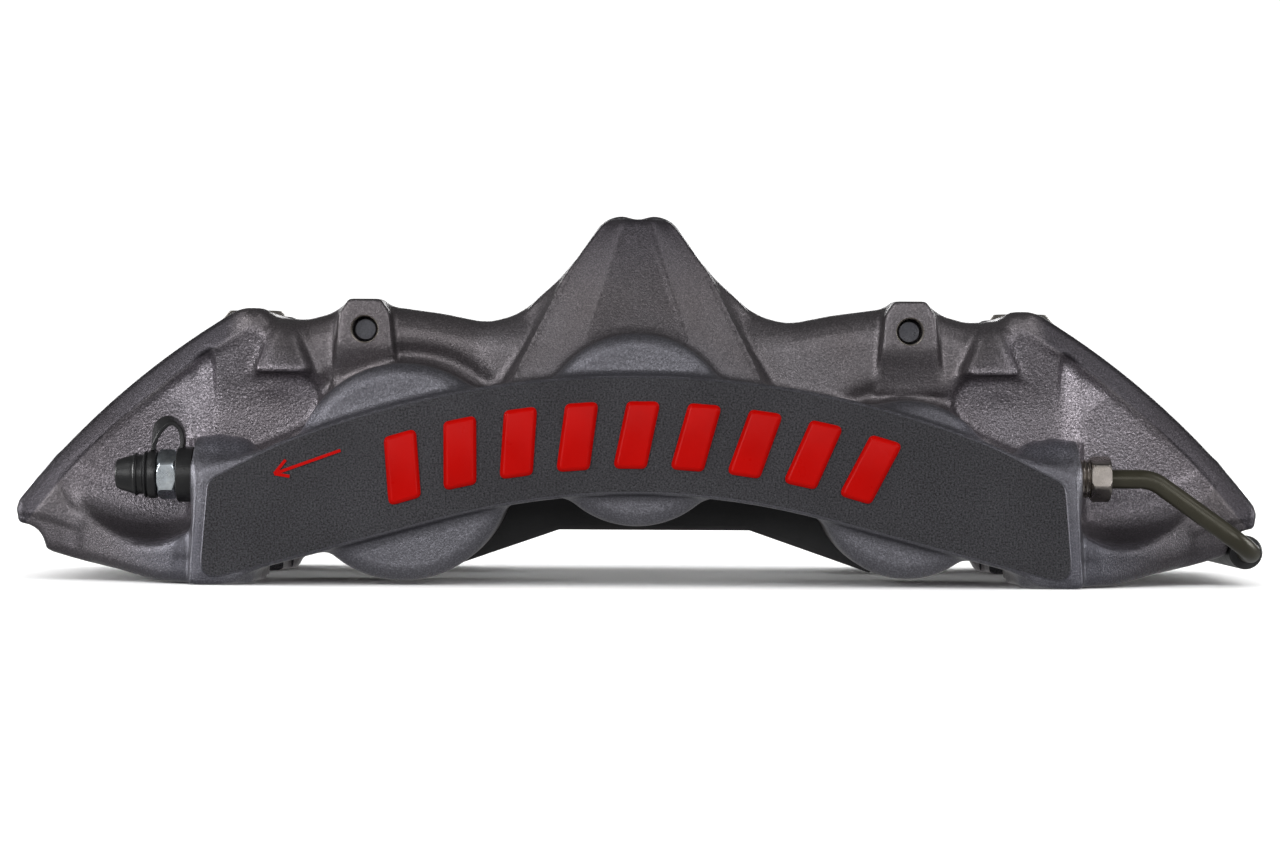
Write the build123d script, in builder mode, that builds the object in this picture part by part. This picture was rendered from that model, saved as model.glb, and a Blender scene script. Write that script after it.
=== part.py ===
"""Fixed six-piston radial-mount brake caliper, in millimetres.

+X runs along the caliper, +Y from the wheel side to the vehicle side, and +Z away from the disc's
axis. The origin is midway between the two mounting bolts, on the plane of the mounting feet, which
is also the plane that the caliper stands on. The disc turns about an axis along Y, below the origin.
"""

import os
from math import cos, radians, sin, sqrt

from build123d import *

os.makedirs("parts", exist_ok=True)

# ---- the disc that the caliper is made for
disc_radius = 190.0
disc_thickness = 34.0
disc_axis_z = -122.0
slot_radius = disc_radius + 2.0
slot_half = disc_thickness / 2 + 2.0

# ---- pistons: name, angle round the disc from +Z, bore radius, radius of the housing round the bore
piston_circle = 160.5
pistons = (
    ("large", -21.0, 19.0, 26.8),
    ("middle", 0.0, 17.0, 23.8),
    ("small", 24.5, 15.0, 22.0),
)
running_gap = 0.05
bore_end = 62.4
piston_front = 34.65
piston_length = 22.0
piston_crown, piston_wall = 6.0, 3.5
seal_y, seal_width, seal_depth = 41.0, 3.2, 3.0
wiper_y, wiper_width, wiper_depth = 37.6, 2.0, 1.8

# ---- distances of the casting's faces from the disc's middle plane
pocket_face = 36.0
wall_face = 46.0
housing_face = 67.0
band_face = 72.0
skirt_face = 70.6
rib_face = 61.0
wing_floor = 38.0

# ---- casting, seen along Y
pocket_half_length = 94.0
foot_end = 118.0
tip_x, tip_z = 156.6, 16.2
wing_top_radius, wing_top_centre_z = 198.0, -102.2
shoulder_z = 65.8
peak_z = 92.0
bridge_half_depth = 38.0

# ---- the flat band across the wheel side
band_top_z, band_top_radius = 51.5, 235.0
band_low_z, band_low_radius = 23.0, 180.0
band_arc_top_x, band_arc_low_x = 88.0, 48.0
band_top_corner = (106.0, 25.8)
band_low_corner = (104.0, 1.5)
band_skirt = 1.5

# ---- fluid ports in the ends of both halves, and the gallery that joins the bores
port_x, port_y, port_z = 111.0, 60.0, 26.9
port_boss_radius = 9.5
port_radius, port_depth = 5.0, 15.0
gallery_radius = 2.0
inlet_x, inlet_z, inlet_radius = 34.5, 36.0, 4.5
inlet_face, inlet_depth = 69.0, 13.0
inlet_boss_radius = 9.0

# ---- mounting
mount_x, mount_y, mount_hole_radius = 105.0, 45.0, 6.25
mount_boss_radius, mount_boss_z = 10.0, 70.5
foot_x_inner, foot_x_outer, foot_half_depth, foot_height = 94.5, 122.0, 11.5, 17.0

# ---- pad pins
pin_x, pin_z = 68.3, 63.4
pin_radius, pin_hole_radius = 3.2, 3.28
pin_boss_face = 49.0
pin_recess = 4.0
pin_head_radius, pin_head_length = 5.2, 3.0
pin_sleeve_radius, pin_sleeve_front, pin_counterbore_radius = 4.4, 39.5, 4.5

# ---- brake pads
pad_gap = 0.5
friction_thickness, plate_thickness, shim_thickness = 11.5, 5.0, 0.6
pad_radius = 189.0
pad_half_length = 92.4
friction_inset = 3.0
pad_lug_radius, pad_hole_radius = 6.6, 3.7

# ---- pad springs
spring_thickness = 0.8
spring_curl_radius = 4.1
spring_half_width, crossbar_half_width = 12.0, 31.0

# ---- wear plates on the pocket's end walls, and their screws
wear_thickness = 0.9
wear_low_z, wear_top_z = 6.0, 63.0
wear_inner_y, wear_outer_y = 19.5, 35.5
wear_screw_y, wear_screw_z, wear_screw_radius = 27.5, 56.0, 2.0

# ---- bleed screws and their caps, measured outwards from the port's face
ring_start, ring_length, ring_radius = 0.5, 2.0, 6.9
hex_start, hex_length, bleed_flats = 2.6, 4.5, 11.0
nipple_radius, nipple_length = 3.0, 6.4
cap_start, cap_length = 7.3, 10.4
strap_height, strap_width, strap_thickness = 13.4, 4.6, 1.2

# ---- crossover pipe
pipe_radius, pipe_bore = 2.375, 1.5
pipe_tip_x, pipe_tip_z = 153.4, 8.4
pipe_bend_x = 127.5
pipe_bend_radius = 9.0
sleeve_radius, sleeve_half_length = 4.3, 44.0
hollow_x, hollow_z, hollow_radius = 154.6, 8.2, 5.9
nut_flats, nut_start, nut_length = 10.0, 1.2, 4.9

# ---- raised red marks on the band
bar_count, bar_height, bar_width, bar_slant = 9, 16.5, 8.2, 3.4
bar_radius, bar_step = 205.0, 4.05
mark_height, arrow_height, arrow_line = 1.2, 0.5, 0.75


def side_plane(y):
    """The plane facing -Y at the given y, whose axes are X and Z."""
    return Plane.XZ.offset(-y)


def arc_z(x, top_z, radius):
    """Height at x of a circle whose highest point is at x = 0 and top_z."""
    return top_z - radius + sqrt(radius**2 - x**2)


def piston_centre(angle):
    """Where the axis of a piston at that angle crosses the XZ plane."""
    return (piston_circle * sin(radians(angle)), disc_axis_z + piston_circle * cos(radians(angle)))


def save(part, name):
    """Labels a finished piece and writes its STEP file."""
    part.label = name
    export_step(part, f"parts/{name}.step")


def wall_outline():
    """Right half of the casting's outline seen along Y, without the peak, drawn in a BuildLine."""
    low_z = arc_z(band_arc_low_x, band_low_z + 1, band_low_radius)
    slope = band_arc_low_x / (low_z - (band_low_z + 1 - band_low_radius))
    ThreePointArc(
        (0, band_low_z + 1),
        (band_arc_low_x / 2, arc_z(band_arc_low_x / 2, band_low_z + 1, band_low_radius)),
        (band_arc_low_x, low_z),
    )
    Polyline(
        (band_arc_low_x, low_z),
        (pocket_half_length, low_z - slope * (pocket_half_length - band_arc_low_x)),
        (pocket_half_length, 0),
        (foot_end, 0),
        (150, 7.5),
        (155.4, 12.5),
        (tip_x, tip_z),
        (155.8, 20),
    )
    top_z = wing_top_centre_z + wing_top_radius
    ThreePointArc(
        (155.8, 20),
        (132, arc_z(132, top_z, wing_top_radius)),
        (104, arc_z(104, top_z, wing_top_radius)),
    )
    Polyline(
        (104, arc_z(104, top_z, wing_top_radius)),
        (99, 68.4),
        (94, 67.6),
        (89.5, shoulder_z),
        (82.8, shoulder_z),
        (77.7, 67.4),
        (72.2, 71.1),
        (65.6, 71.1),
        (61, 69.4),
        (40, 66.3),
        (0, shoulder_z),
    )


def peak_outline():
    """Right half of the centre bridge's outline seen along Y, drawn in a BuildLine."""
    Polyline((0, 58), (37, 58), (36.5, 65.4), (33, 66.8))
    ThreePointArc((33, 66.8), (22.5, 74.4), (13.5, 83.4))
    Polyline((13.5, 83.4), (9.2, 89.4), (8, 90.8), (6, 91.9), (3.6, peak_z), (1.2, 91.4), (0, 91.3))


def band_outline():
    """Right half of the band's outline seen along Y, drawn in a BuildLine."""
    top_z = arc_z(band_arc_top_x, band_top_z, band_top_radius)
    low_z = arc_z(band_arc_low_x, band_low_z, band_low_radius)
    ThreePointArc(
        (0, band_top_z),
        (band_arc_top_x / 2, arc_z(band_arc_top_x / 2, band_top_z, band_top_radius)),
        (band_arc_top_x, top_z),
    )
    Polyline((band_arc_top_x, top_z), band_top_corner, band_low_corner, (band_arc_low_x, low_z))
    ThreePointArc(
        (band_arc_low_x, low_z),
        (band_arc_low_x / 2, arc_z(band_arc_low_x / 2, band_low_z, band_low_radius)),
        (0, band_low_z),
    )


def gusset(side):
    """Buttress that carries the centre bridge down the outside of one half. side is -1 or 1."""
    with BuildPart() as buttress:
        with BuildSketch(Plane.XY.offset(47)):
            with BuildLine():
                Polyline(
                    (-35, side * 40),
                    (-29, side * 61),
                    (-14, side * 65.5),
                    (14, side * 65.5),
                    (29, side * 61),
                    (35, side * 40),
                    close=True,
                )
            make_face()
        with BuildSketch(Plane.XY.offset(90.5)):
            with BuildLine():
                Polyline(
                    (-8.5, side * 20),
                    (-7.5, side * 31),
                    (-3.5, side * 33),
                    (3.5, side * 33),
                    (7.5, side * 31),
                    (8.5, side * 20),
                    close=True,
                )
            make_face()
        loft(ruled=True)
    return buttress.part


def fin(x, side):
    """Small wedge on the shoulder, flush at its top and proud at its foot."""
    with BuildPart() as wedge:
        with BuildSketch(Plane.XY.offset(52.4)):
            with Locations((x, side * (wall_face + 0.5))):
                Rectangle(12.4, 11)
        with BuildSketch(Plane.XY.offset(65)):
            with Locations((x, side * (wall_face - 2))):
                Rectangle(3.4, 4)
        loft(ruled=True)
    return wedge.part


def half_details(side):
    """What stands out of the wall of one half: housings, pin bosses, fins and port bosses."""
    with BuildPart() as details:
        for _, angle, _, housing_radius in pistons:
            with BuildSketch(side_plane(side * pocket_face)):
                with Locations(piston_centre(angle)):
                    Circle(housing_radius)
            extrude(amount=-side * (housing_face - pocket_face))
        fillet(details.edges().filter_by(GeomType.CIRCLE).group_by(Axis.Y)[-1 if side > 0 else 0], 4.5)
        for x in (-pin_x, pin_x):
            with BuildSketch(side_plane(side * pocket_face)):
                with Locations((x, 0)):
                    Polygon((-8, 50), (8, 50), (6.4, 68), (3.6, 71.1), (-3.6, 71.1), (-6.4, 68), align=None)
            extrude(amount=-side * (pin_boss_face - pocket_face))
        for x in (-port_x, port_x):
            step = 18 if x < 0 else -18
            with BuildSketch(Plane.YZ.offset(x)):
                with Locations((side * port_y, port_z)):
                    Circle(port_boss_radius)
            extrude(amount=step)
        add(gusset(side))
        for x in (-88.5, 88.5):
            add(fin(x, side))
    return details.part


def band_block():
    """The cast skirt of the band on the wheel side and its machined face."""
    with BuildPart() as block:
        with BuildSketch(side_plane(-wall_face)):
            with BuildLine():
                band_outline()
                mirror(about=Plane.YZ)
            make_face()
            offset(amount=band_skirt)
            with Locations((-port_x + 6, 16.5), (port_x - 6, 16.5)):
                RectangleRounded(12, 33, 3)
        extrude(amount=skirt_face - wall_face)
        with BuildSketch(side_plane(-skirt_face)):
            with BuildLine():
                band_outline()
                mirror(about=Plane.YZ)
            made = make_face()
            fillet(made.vertices().group_by(Axis.X)[0] + made.vertices().group_by(Axis.X)[-1], 4.5)
        extrude(amount=band_face - skirt_face)
    return block.part


def rear_rib():
    """Stiffening rib between the housings of the vehicle-side half."""
    with BuildPart() as rib:
        with BuildSketch(side_plane(wall_face)):
            with BuildLine():
                band_outline()
                mirror(about=Plane.YZ)
            make_face()
        extrude(amount=-(rib_face - wall_face))
    return rib.part


def wing_pocket_outline():
    """Triangular recess in the face of the right-hand wing, drawn in a BuildLine."""
    Polyline(
        (109, 53),
        (144.5, 25.6),
        (139, 15.5),
        (128, 10.2),
        (117, 10),
        (113, 13),
        (112.4, 36.5),
        close=True,
    )


def plateau_outline():
    """Shallow dish between the right-hand wing and the shoulder, drawn in a BuildLine."""
    Polyline(
        (105.5, 56),
        (97, 58.5),
        (94.5, 51.2),
        (83, 50.4),
        (78, 46),
        (81, 40.5),
        (99, 33),
        (105, 37.4),
        close=True,
    )


def disc_room():
    """Room for the disc, and for the pads under the centre bridge."""
    with BuildPart() as room:
        for radius, half_width, half_length in (
            (slot_radius, slot_half, 170),
            (pad_radius + 2, pocket_face, pocket_half_length),
        ):
            with BuildSketch(side_plane(-half_width)):
                with Locations((0, disc_axis_z)):
                    Circle(radius)
                Rectangle(2 * half_length, 400, mode=Mode.INTERSECT)
            extrude(amount=-2 * half_width)
    return room.part


def bores(side):
    """Piston bores of one half with the grooves for the seal and the dust wiper."""
    with BuildPart() as room:
        for _, angle, bore_radius, _ in pistons:
            for start, width, radius in (
                (pocket_face - 1, bore_end - pocket_face + 1, bore_radius),
                (seal_y, seal_width, bore_radius + seal_depth),
                (wiper_y, wiper_width, bore_radius + wiper_depth),
            ):
                with BuildSketch(side_plane(side * start)):
                    with Locations(piston_centre(angle)):
                        Circle(radius)
                extrude(amount=-side * width)
    return room.part


def ports(side):
    """Threaded ports in both ends of one half and the gallery between them."""
    with BuildPart() as room:
        for x in (-port_x, port_x):
            inward = 1 if x < 0 else -1
            for radius, depth in ((8.0, 1.2), (port_radius, port_depth), (gallery_radius, port_x)):
                with BuildSketch(Plane.YZ.offset(x)):
                    with Locations((side * port_y, port_z)):
                        Circle(radius)
                extrude(amount=inward * depth)
    return room.part


def inlet():
    """Port for the brake hose and its way down to the gallery."""
    with BuildPart() as room:
        with BuildSketch(side_plane(inlet_face)):
            with Locations((inlet_x, inlet_z)):
                Circle(inlet_radius)
        extrude(amount=inlet_depth)
        with BuildSketch(Plane.XY.offset(port_z)):
            with Locations((inlet_x, port_y)):
                Circle(0.75 * gallery_radius)
        extrude(amount=inlet_z - port_z)
    return room.part


def pin_holes():
    """Holes for the pad pins, with counterbores for their spring sleeves on the vehicle side."""
    with BuildPart() as room:
        for x in (-pin_x, pin_x):
            for start, length, radius in (
                (pin_boss_face + 1, 2 * pin_boss_face + 2, pin_hole_radius),
                (pin_boss_face + 1, pin_boss_face + 1 - 39, pin_counterbore_radius),
            ):
                with BuildSketch(side_plane(start)):
                    with Locations((x, pin_z)):
                        Circle(radius)
                extrude(amount=length)
    return room.part


def wear_screw_holes():
    """Tapped holes for the screws of the wear plates, in both end walls of the pocket."""
    with BuildPart() as room:
        for x in (-pocket_half_length, pocket_half_length):
            with BuildSketch(Plane.YZ.offset(x)):
                with Locations((-wear_screw_y, wear_screw_z), (wear_screw_y, wear_screw_z)):
                    Circle(wear_screw_radius + 0.05)
            extrude(amount=9 if x > 0 else -9)
    return room.part


def bolt_holes():
    """Mounting bolt holes through the lugs, with a spot face on top."""
    with BuildPart() as room:
        for x in (-mount_x, mount_x):
            for start, length, radius in (
                (0, mount_boss_z, mount_hole_radius),
                (mount_boss_z, 20, mount_boss_radius),
            ):
                with BuildSketch(Plane.XY.offset(start)):
                    with Locations((x, mount_y)):
                        Circle(radius)
                extrude(amount=length)
    return room.part


def pipe_hollows():
    """Hollows under both tips, where the crossover pipe lies."""
    with BuildPart() as room:
        with BuildSketch(side_plane(wall_face)):
            with Locations((-hollow_x, hollow_z), (hollow_x, hollow_z)):
                Circle(hollow_radius)
        extrude(amount=2 * wall_face)
    return room.part


def lugs():
    """Mounting lugs of the vehicle-side half, from the feet up to the bolt bosses."""
    with BuildPart() as material:
        for x in (-1, 1):
            with BuildSketch(Plane.XY):
                with Locations((x * (foot_x_inner + foot_x_outer) / 2, mount_y)):
                    RectangleRounded(foot_x_outer - foot_x_inner, 2 * foot_half_depth, 5)
            extrude(amount=foot_height)
            with BuildSketch(Plane.XY):
                with Locations((x * mount_x, mount_y)):
                    Circle(mount_boss_radius)
            extrude(amount=mount_boss_z)
    return material.part


def monobloc():
    """The one-piece casting, machined."""
    with BuildPart() as body:
        with BuildSketch(side_plane(wall_face)):
            with BuildLine():
                wall_outline()
                mirror(about=Plane.YZ)
            make_face()
        extrude(amount=2 * wall_face)
        Box(2 * pocket_half_length, 2 * pocket_face, 260, mode=Mode.SUBTRACT)
        with BuildSketch(side_plane(bridge_half_depth)):
            with BuildLine():
                peak_outline()
                mirror(about=Plane.YZ)
            make_face()
        extrude(amount=2 * bridge_half_depth)
        for side in (-1, 1):
            add(half_details(side))
            for outline, floor, draft in (
                (wing_pocket_outline, wing_floor, 24),
                (plateau_outline, wall_face - 3.2, 40),
            ):
                with BuildSketch(side_plane(side * wall_face)):
                    with BuildLine():
                        outline()
                    make_face()
                    mirror(about=Plane.YZ)
                extrude(amount=side * (wall_face - floor), taper=draft, mode=Mode.SUBTRACT)
        add(band_block())
        add(rear_rib())
        add(lugs())
        with BuildSketch(side_plane(wall_face)):
            with Locations((inlet_x, inlet_z)):
                Circle(inlet_boss_radius)
        extrude(amount=-(inlet_face - wall_face))
        for tool in (
            disc_room(),
            pin_holes(),
            wear_screw_holes(),
            bolt_holes(),
            inlet(),
            pipe_hollows(),
        ):
            add(tool, mode=Mode.SUBTRACT)
        for side in (-1, 1):
            add(bores(side), mode=Mode.SUBTRACT)
            add(ports(side), mode=Mode.SUBTRACT)
    return body.part


def piston(side, angle, bore_radius):
    """Cup-shaped piston, open towards the pad."""
    with BuildPart() as cup:
        with BuildSketch(side_plane(side * piston_front)):
            with Locations(piston_centre(angle)):
                Circle(bore_radius - running_gap)
        extrude(amount=-side * piston_length)
        with BuildSketch(side_plane(side * piston_front)):
            with Locations(piston_centre(angle)):
                Circle(bore_radius - running_gap - piston_wall)
        extrude(amount=-side * (piston_length - piston_crown), mode=Mode.SUBTRACT)
        rims = cup.edges().filter_by(GeomType.CIRCLE).group_by(Axis.Y)
        chamfer(rims[0] + rims[-1], 0.5)
    return cup.part


def ring(side, angle, bore_radius, start, width, depth):
    """Rubber ring in a groove of one bore."""
    with BuildPart() as rubber:
        with BuildSketch(side_plane(side * (start + 0.05))):
            with Locations(piston_centre(angle)):
                Circle(bore_radius + depth - 0.05)
                Circle(bore_radius, mode=Mode.SUBTRACT)
        extrude(amount=-side * (width - 0.1))
    return rubber.part


def pad_outline(inset):
    """Outline of a pad seen along Y, set in by that much, drawn in a BuildSketch."""
    with BuildSketch(mode=Mode.PRIVATE) as outline:
        with BuildLine():
            end_z = disc_axis_z + sqrt(pad_radius**2 - pad_half_length**2)
            Polyline(
                (-pad_half_length, end_z),
                (-pad_half_length, 14),
                (-76, 8),
                (-50, 2.5),
                (-19.6, 13),
                (28.7, 13),
                (59, 2.5),
                (76, 8),
                (pad_half_length, 14),
                (pad_half_length, end_z),
            )
            ThreePointArc(
                (pad_half_length, end_z),
                (0, disc_axis_z + pad_radius),
                (-pad_half_length, end_z),
            )
        make_face()
        if inset:
            offset(amount=-inset)
    return outline.sketch


def backing_plate(side):
    """Steel plate of one pad with its two pin lugs."""
    with BuildPart() as plate:
        with BuildSketch(side_plane(side * (disc_thickness / 2 + pad_gap + friction_thickness))):
            add(pad_outline(0))
            with Locations((-pin_x, pin_z), (pin_x, pin_z)):
                Circle(pad_lug_radius)
            with Locations((-pin_x, pin_z - 8), (pin_x, pin_z - 8)):
                Rectangle(2 * pad_lug_radius, 16)
            with Locations((-pin_x, pin_z), (pin_x, pin_z)):
                Circle(pad_hole_radius, mode=Mode.SUBTRACT)
        extrude(amount=-side * plate_thickness)
    return plate.part


def friction_block(side):
    """Friction material with a slot across its face and slanted ends."""
    face = disc_thickness / 2 + pad_gap
    with BuildPart() as block:
        with BuildSketch(side_plane(side * face)):
            add(pad_outline(friction_inset))
        extrude(amount=-side * friction_thickness)
        with BuildSketch(side_plane(side * face)):
            with Locations((4.5, 40)):
                Rectangle(3, 80)
        extrude(amount=-side * (friction_thickness - 2.5), mode=Mode.SUBTRACT)
        for end in (-1, 1):
            with BuildSketch(Plane.XY.offset(-5)):
                with BuildLine():
                    Polyline(
                        (end * (pad_half_length - 12), side * (face - 1)),
                        (end * (pad_half_length - 2), side * (face + 6)),
                        (end * (pad_half_length + 2), side * (face - 1)),
                        close=True,
                    )
                make_face()
            extrude(amount=80, mode=Mode.SUBTRACT)
    return block.part


def shim(side):
    """Thin damping plate between the pad and the pistons."""
    back = disc_thickness / 2 + pad_gap + friction_thickness + plate_thickness
    with BuildPart() as sheet:
        with BuildSketch(side_plane(side * back)):
            add(pad_outline(1.2))
        extrude(amount=-side * shim_thickness)
    return sheet.part


def pad_pin(x):
    """Pin that carries both pads, with its head on the vehicle side."""
    with BuildPart() as pin:
        with BuildSketch(side_plane(pin_recess - pin_boss_face)):
            with Locations((x, pin_z)):
                Circle(pin_radius)
        extrude(amount=-(2 * pin_boss_face - pin_recess + 0.1))
        chamfer(pin.edges().filter_by(GeomType.CIRCLE).group_by(Axis.Y)[0], 0.7)
        with BuildSketch(side_plane(pin_boss_face + 0.1)):
            with Locations((x, pin_z)):
                Circle(pin_head_radius)
        extrude(amount=-pin_head_length)
        chamfer(pin.edges().filter_by(GeomType.CIRCLE).group_by(Axis.Y)[-1], 0.8)
    return pin.part


def pin_sleeve(x):
    """Split spring sleeve that grips a pad pin in its counterbore."""
    with BuildPart() as sleeve:
        with BuildSketch(side_plane(pin_sleeve_front)):
            with Locations((x, pin_z)):
                Circle(pin_sleeve_radius)
                Circle(pin_radius, mode=Mode.SUBTRACT)
            with Locations((x, pin_z + pin_sleeve_radius)):
                Rectangle(1.2, 4, mode=Mode.SUBTRACT)
        extrude(amount=-(pin_boss_face - pin_sleeve_front))
    return sleeve.part


def pad_spring(side):
    """Leaf spring hooked under one pin, with a crossbar above both pads."""
    with BuildPart() as spring:
        for half_width, path_end in ((spring_half_width, 47.6), (crossbar_half_width, 40.6)):
            with BuildSketch(side_plane(half_width)):
                with BuildLine():
                    if half_width == spring_half_width:
                        CenterArc((side * pin_x, pin_z), spring_curl_radius, 340 if side > 0 else 200, -side * 120)
                        hook_end = (
                            side * (pin_x + spring_curl_radius * cos(radians(220))),
                            pin_z + spring_curl_radius * sin(radians(220)),
                        )
                        Spline(
                            hook_end,
                            (side * 59.5, 64.6),
                            (side * 53, 65.4),
                            (side * path_end, 63.9),
                        )
                    else:
                        Polyline((side * 47.6, 63.9), (side * 44, 63.5), (side * path_end, 64.1))
                trace(line_width=spring_thickness)
            extrude(amount=2 * half_width)
    return spring.part


def wear_plate(end, side):
    """Steel liner on an end wall of the pocket, which one pad slides along."""
    with BuildPart() as liner:
        with BuildSketch(Plane.YZ.offset(end * pocket_half_length)):
            with Locations((side * (wear_inner_y + wear_outer_y) / 2, (wear_low_z + wear_top_z) / 2)):
                RectangleRounded(wear_outer_y - wear_inner_y, wear_top_z - wear_low_z, 1.5)
            with Locations((side * wear_screw_y, wear_screw_z)):
                Circle(wear_screw_radius + 0.15, mode=Mode.SUBTRACT)
        extrude(amount=-end * wear_thickness)
    return liner.part


def wear_plate_screws():
    """The four screws that hold the wear plates."""
    with BuildPart() as screws:
        for end in (-1, 1):
            for side in (-1, 1):
                head = end * (pocket_half_length - wear_thickness)
                with BuildSketch(Plane.YZ.offset(head)):
                    with Locations((side * wear_screw_y, wear_screw_z)):
                        Circle(3.6)
                extrude(amount=-end * 1.6)
                with BuildSketch(Plane.YZ.offset(head - end * 1.6)):
                    with Locations((side * wear_screw_y, wear_screw_z)):
                        RegularPolygon(1.25, 6, major_radius=False)
                extrude(amount=end * 1.1, mode=Mode.SUBTRACT)
                with BuildSketch(Plane.YZ.offset(head)):
                    with Locations((side * wear_screw_y, wear_screw_z)):
                        Circle(wear_screw_radius)
                extrude(amount=end * 8)
    return screws.part


def port_stack(direction, y, layers):
    """Solids one after another along a port's axis: start, length, radius or flats, is it a hexagon."""
    with BuildPart() as stack:
        for start, length, size, hexagonal in layers:
            with BuildSketch(Plane.YZ.offset(direction * (port_x + start))):
                with Locations((y, port_z)):
                    if hexagonal:
                        RegularPolygon(size / 2, 6, major_radius=False, rotation=30)
                    else:
                        Circle(size)
            extrude(amount=direction * length)
    return stack.part


def bleed_screw(side):
    """Bleed screw: thread, neck, hexagon and nipple, with a passage down its middle."""
    with BuildPart() as screw:
        add(
            port_stack(
                -1,
                side * port_y,
                (
                    (1 - port_depth, port_depth - 1, port_radius - 0.05, False),
                    (0, hex_start, 4.2, False),
                    (hex_start, hex_length, bleed_flats, True),
                    (hex_start + hex_length, nipple_length, nipple_radius, False),
                ),
            )
        )
        add(port_stack(-1, side * port_y, ((-8, 30, 1.0, False),)), mode=Mode.SUBTRACT)
    return screw.part


def bleed_cap(side):
    """Rubber cap over the nipple, with a tapering nose and two ribs."""
    with BuildPart() as cap:
        with BuildSketch(Plane.XZ):
            with BuildLine():
                Polyline(
                    (-port_x - cap_start, 3.5),
                    (-port_x - cap_start, 6.0),
                    (-port_x - cap_start - 2.3, 6.0),
                    (-port_x - cap_start - 2.3, 5.3),
                    (-port_x - cap_start - 2.8, 5.8),
                    (-port_x - cap_start - 3.5, 5.2),
                    (-port_x - cap_start - 4.9, 5.0),
                    (-port_x - cap_start - 5.4, 5.3),
                    (-port_x - cap_start - 5.9, 4.9),
                    (-port_x - cap_start - cap_length + 0.4, 3.6),
                    (-port_x - cap_start - cap_length, 3.2),
                    (-port_x - cap_start - cap_length, 0),
                    (-port_x - cap_start - 7.2, 0),
                    (-port_x - cap_start - 7.2, 3.5),
                    close=True,
                )
            make_face()
        revolve(axis=Axis.X)
    return cap.part.moved(Location((0, side * port_y, port_z)))


def cap_strap(side):
    """Rubber ring round the bleed screw's neck, with the strap that arches from it to the cap."""
    near = -port_x - ring_start - ring_length / 2
    far = -port_x - cap_start - 1.2
    with BuildPart() as strap:
        add(port_stack(-1, side * port_y, ((ring_start, ring_length, ring_radius, False),)))
        add(port_stack(-1, side * port_y, ((0, 4, 4.55, False),)), mode=Mode.SUBTRACT)
        with BuildSketch(side_plane(side * port_y + strap_width / 2)):
            with BuildLine():
                Spline(
                    (near, port_z + 6.6),
                    (near + 0.4, port_z + 9.5),
                    ((near + far) / 2, port_z + strap_height - strap_thickness / 2),
                    (far - 0.4, port_z + 9.8),
                    (far, port_z + 6.35),
                )
            trace(line_width=strap_thickness)
        extrude(amount=strap_width)
    return strap.part


def pipe_path(start, end):
    """Middle line of the crossover pipe, drawn in a BuildLine."""
    FilletPolyline(
        (port_x + start, -port_y, port_z),
        (pipe_bend_x, -port_y, port_z),
        (pipe_tip_x, -port_y, pipe_tip_z),
        (pipe_tip_x, port_y, pipe_tip_z),
        (pipe_bend_x, port_y, port_z),
        (port_x + end, port_y, port_z),
        radius=pipe_bend_radius,
    )


def crossover_pipe():
    """Steel pipe that joins the two halves round the tip."""
    with BuildPart() as pipe:
        with BuildLine():
            pipe_path(-6, -6)
        with BuildSketch(Plane.YZ.offset(port_x - 6)):
            with Locations((-port_y, port_z)):
                Circle(pipe_radius)
                Circle(pipe_bore, mode=Mode.SUBTRACT)
        sweep()
    return pipe.part


def pipe_nut(side):
    """Flare nut of the crossover pipe."""
    with BuildPart() as nut:
        add(
            port_stack(
                1,
                side * port_y,
                (
                    (-11, 11 + nut_start, port_radius - 0.05, False),
                    (nut_start, nut_length, nut_flats, True),
                ),
            )
        )
        add(port_stack(1, side * port_y, ((-12, 30, pipe_radius + 0.1, False),)), mode=Mode.SUBTRACT)
    return nut.part


def pipe_sleeve():
    """Rubber sleeve on the pipe where it passes under the tip."""
    with BuildPart() as sleeve:
        with BuildSketch(side_plane(sleeve_half_length)):
            with Locations((pipe_tip_x, pipe_tip_z)):
                Circle(sleeve_radius)
                Circle(pipe_radius + 0.02, mode=Mode.SUBTRACT)
        extrude(amount=2 * sleeve_half_length)
    return sleeve.part


def emblem_bars():
    """Row of plain slanted bars along the band."""
    centre_z = 37.2 - bar_radius
    with BuildPart() as bars:
        with BuildSketch(side_plane(-band_face)):
            for index in range(bar_count):
                turn = (index - (bar_count - 1) / 2) * bar_step
                spot = (bar_radius * sin(radians(turn)), centre_z + bar_radius * cos(radians(turn)))
                with Locations(Location((spot[0], spot[1], 0), (0, 0, -turn))):
                    Polygon(
                        (-bar_width / 2 - bar_slant / 2, -bar_height / 2),
                        (bar_width / 2 - bar_slant / 2, -bar_height / 2),
                        (bar_width / 2 + bar_slant / 2, bar_height / 2),
                        (-bar_width / 2 + bar_slant / 2, bar_height / 2),
                        align=None,
                    )
        extrude(amount=mark_height, taper=20)
    return bars.part


def rotation_arrow():
    """Thin raised arrow on the band that shows the way the disc turns."""
    with BuildPart() as arrow:
        with BuildSketch(side_plane(-band_face)):
            for end in ((-72.3, 33.1), (-85.7, 30.7), (-84.7, 26.7)):
                with BuildLine():
                    Line((-88.4, 27.3), end)
                trace(line_width=arrow_line)
        extrude(amount=arrow_height)
    return arrow.part


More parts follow.
